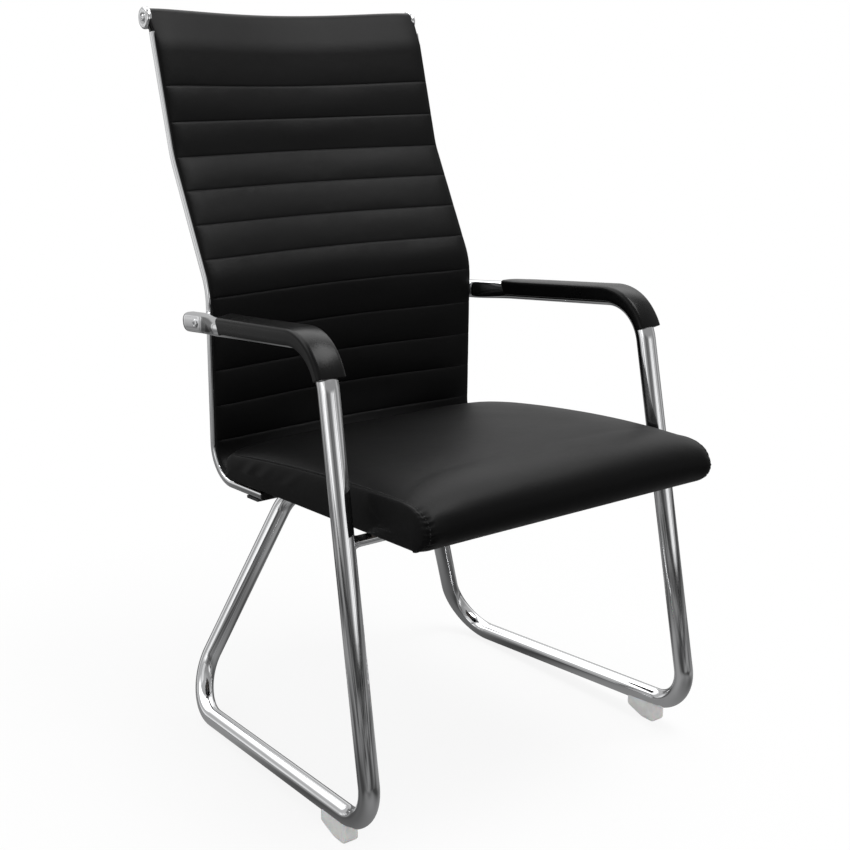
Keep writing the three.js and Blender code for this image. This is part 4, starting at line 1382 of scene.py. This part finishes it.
class CHAIR_OT_stage(bpy.types.Operator):
    """Lays the floor, hangs the soft lamps and places the camera"""

    bl_idname = "chair.stage"
    bl_label = "Stage"

    # Distances from the chair's middle over which the paper turns white to the camera, over which
    # its reflection dims, and over which the reflection ends, behind the chair and all round.
    whitens = (0.30, 1.0)
    dims = (1.2, 2.6)
    ends_behind = (1.45, 1.85)
    ends = (3.5, 6.0)

    def execute(self, context):
        stage = context.scene.chair_stage
        self.lay_floor(context)
        self.light_room(context, stage)
        self.hang(context, "key", (0.75, -0.75, 2.7), (0.0, -0.05, 0.5), (1.4, 1.0), stage.key)
        self.hang(context, "fill", (-2.4, -0.6, 1.5), (0.0, 0.0, 0.5), (1.4, 1.8), stage.fill)
        self.place_camera(context, stage)
        return {"FINISHED"}

    def lay_floor(self, context):
        bm = bmesh.new()
        bmesh.ops.create_circle(bm, cap_ends=True, segments=96, radius=14.0)
        mesh = bpy.data.meshes.new("floor")
        bm.to_mesh(mesh)
        bm.free()
        floor = bpy.data.objects.new("floor", mesh)
        context.scene.collection.objects.link(floor)
        mesh.materials.append(self.floor_finish())

    def floor_finish(self):
        """Paper that glows white to the camera, and is a dim floor with an end to the chrome."""
        finish = Finish("floor_paper", Roughness=0.9, Base_Color=(0.92, 0.92, 0.92, 1.0))
        finish.wire(finish.bump(finish.noise(240.0, 3.0), 0.0004, 0.15), "Normal")
        rays = finish.add("ShaderNodeLightPath").outputs
        span = finish.add("ShaderNodeVectorMath", {0: finish.place}, operation="LENGTH")
        away = span.outputs["Value"]
        depth = finish.add("ShaderNodeSeparateXYZ", {"Vector": finish.place}).outputs["Y"]

        def glow(strength):
            return finish.add("ShaderNodeEmission", {"Strength": strength}).outputs["Emission"]

        whitened = finish.spread(away, 0.86, 1.0, *self.whitens)
        white = finish.math("MULTIPLY", rays["Is Camera Ray"], whitened)
        paper = finish.either(white, finish.shader.outputs["BSDF"], glow(1.0))
        dim = finish.spread(away, FLOOR_NEAR, FLOOR_FAR, *self.dims)
        patches = finish.spread(finish.noise(2.2, 1.0), 0.35, 1.8, 0.36, 0.64)
        behind = finish.spread(depth, 0.0, 1.0, -0.5, 0.5)
        ended_behind = finish.math(
            "MULTIPLY", finish.spread(away, 0.0, 1.0, *self.ends_behind), behind
        )
        ended = finish.math("MAXIMUM", ended_behind, finish.spread(away, 0.0, 1.0, *self.ends))
        open_room = finish.add("ShaderNodeBsdfTransparent").outputs["BSDF"]
        mirrored = finish.either(ended, glow(finish.math("MULTIPLY", dim, patches)), open_room)
        mirrors = finish.math("MAXIMUM", rays["Is Glossy Ray"], rays["Is Transmission Ray"])
        surface = finish.either(mirrors, paper, mirrored)
        finish.links.new(surface, finish.nodes["Material Output"].inputs["Surface"])
        return finish.material

    def light_room(self, context, stage):
        """White to the camera, even light to dull surfaces, and a room for the glossy ones."""
        world = bpy.data.worlds.new("studio")
        context.scene.world = world
        world.use_nodes = True
        graph = Graph(world.node_tree)
        graph.nodes.clear()
        direction = graph.add("ShaderNodeTexCoord").outputs["Generated"]
        way = graph.add("ShaderNodeSeparateXYZ", {"Vector": direction}).outputs

        def rise(axis, start, end, low=0.0):
            return graph.spread(way[axis], low, 1.0, start, end, "SMOOTHSTEP")

        def blended(share, below, above):
            sides = {"Factor": share, "A": below, "B": above}
            return graph.add("ShaderNodeMix", sides, data_type="RGBA").outputs["Result"]

        def glow(colour, strength=1.0):
            node = graph.add("ShaderNodeBackground", {"Color": colour, "Strength": strength})
            return node.outputs["Background"]

        turn = graph.spread(graph.math("ARCTAN2", way["Y"], way["X"]), 0.0, 1.0, -math.pi, math.pi)
        panels = graph.ramp(turn, [(position, grey(level)[:3]) for position, level in ROOM_PANELS])
        streaks = graph.add(
            "ShaderNodeTexNoise", {"W": turn, "Scale": 46.0, "Detail": 2.0}, noise_dimensions="1D"
        )
        streaked = graph.spread(streaks.outputs["Fac"], 0.65, 1.38, 0.35, 0.65)
        strength = graph.math("MULTIPLY", streaked, rise("Z", *PANELS_DIM, PANELS_LOW))
        low = graph.add("ShaderNodeVectorMath", {0: panels, "Scale": strength}, operation="SCALE")
        behind = blended(rise("X", 0.56, 0.68), grey(WALL_BEHIND), grey(WALL_BEHIND_LEFT))
        walls = blended(rise("Y", -0.6, 0.4), grey(WALL_BEFORE), behind)
        ceiling = blended(rise("Y", 0.0, 0.34), grey(CEILING_BEFORE), grey(CEILING_BEHIND))
        around = blended(rise("Z", *PANELS_END), low.outputs["Vector"], walls)
        room = blended(rise("Z", *WALLS_END), around, ceiling)
        rays = graph.add("ShaderNodeLightPath").outputs
        lit = graph.either(rays["Is Glossy Ray"], glow(grey(1.0), stage.ambient), glow(room))
        seen = graph.either(rays["Is Camera Ray"], lit, glow(grey(1.0)))
        graph.add("ShaderNodeOutputWorld", {"Surface": seen})

    def hang(self, context, name, location, target, size, power):
        lamp = bpy.data.lights.new(name, "AREA")
        lamp.shape = "RECTANGLE"
        lamp.size, lamp.size_y = size
        lamp.energy = power
        holder = bpy.data.objects.new(name, lamp)
        holder.location = location
        aim = Vector(target) - holder.location
        holder.rotation_euler = aim.to_track_quat("-Z", "Y").to_euler()
        context.scene.collection.objects.link(holder)

    def place_camera(self, context, stage):
        camera = bpy.data.cameras.new("camera")
        camera.lens = stage.lens
        camera.sensor_width = 36.0
        camera.clip_end = 60.0
        holder = bpy.data.objects.new("camera", camera)
        holder.location = stage.camera
        holder.rotation_euler = (math.pi / 2 - stage.tilt, 0.0, -stage.turn)
        context.scene.collection.objects.link(holder)
        context.scene.camera = holder
        context.scene.view_settings.view_transform = "Standard"


class CHAIR_PT_panel(bpy.types.Panel):
    """The steps that build the chair, in order"""

    bl_idname = "CHAIR_PT_panel"
    bl_label = "Sled Base Visitor Chair"
    bl_space_type = "VIEW_3D"
    bl_region_type = "UI"
    bl_category = "Chair"

    def draw(self, context):
        for step in STEPS:
            self.layout.operator(step.bl_idname)
        for group in SETTINGS:
            box = self.layout.box()
            values = getattr(context.scene, group)
            for name in SETTINGS[group].__annotations__:
                box.prop(values, name)


SETTINGS = {
    "chair_frame": ChairFrameSizes,
    "chair_arm": ChairArmSizes,
    "chair_back": ChairBackSizes,
    "chair_seat": ChairSeatSizes,
    "chair_finishes": ChairFinishes,
    "chair_stage": ChairStage,
}
STEPS = (
    CHAIR_OT_side_frames,
    CHAIR_OT_arm_bolts,
    CHAIR_OT_arm_shells,
    CHAIR_OT_cross_tube,
    CHAIR_OT_back_rails,
    CHAIR_OT_head_caps,
    CHAIR_OT_back_sling,
    CHAIR_OT_seat_cushion,
    CHAIR_OT_seat_underside,
    CHAIR_OT_foot_pads,
    CHAIR_OT_stage,
)


def register():
    for name, group in SETTINGS.items():
        bpy.utils.register_class(group)
        setattr(bpy.types.Scene, name, PointerProperty(type=group))
    for step in STEPS:
        bpy.utils.register_class(step)
    bpy.utils.register_class(CHAIR_PT_panel)


def unregister():
    bpy.utils.unregister_class(CHAIR_PT_panel)
    for step in reversed(STEPS):
        bpy.utils.unregister_class(step)
    for name, group in SETTINGS.items():
        delattr(bpy.types.Scene, name)
        bpy.utils.unregister_class(group)


def main():
    register()
    bpy.ops.chair.side_frames()
    bpy.ops.chair.arm_bolts()
    bpy.ops.chair.arm_shells()
    bpy.ops.chair.cross_tube()
    bpy.ops.chair.back_rails()
    bpy.ops.chair.head_caps()
    bpy.ops.chair.back_sling()
    bpy.ops.chair.seat_cushion()
    bpy.ops.chair.seat_underside()
    bpy.ops.chair.foot_pads()
    bpy.ops.chair.stage()


if __name__ == "__main__":
    main()
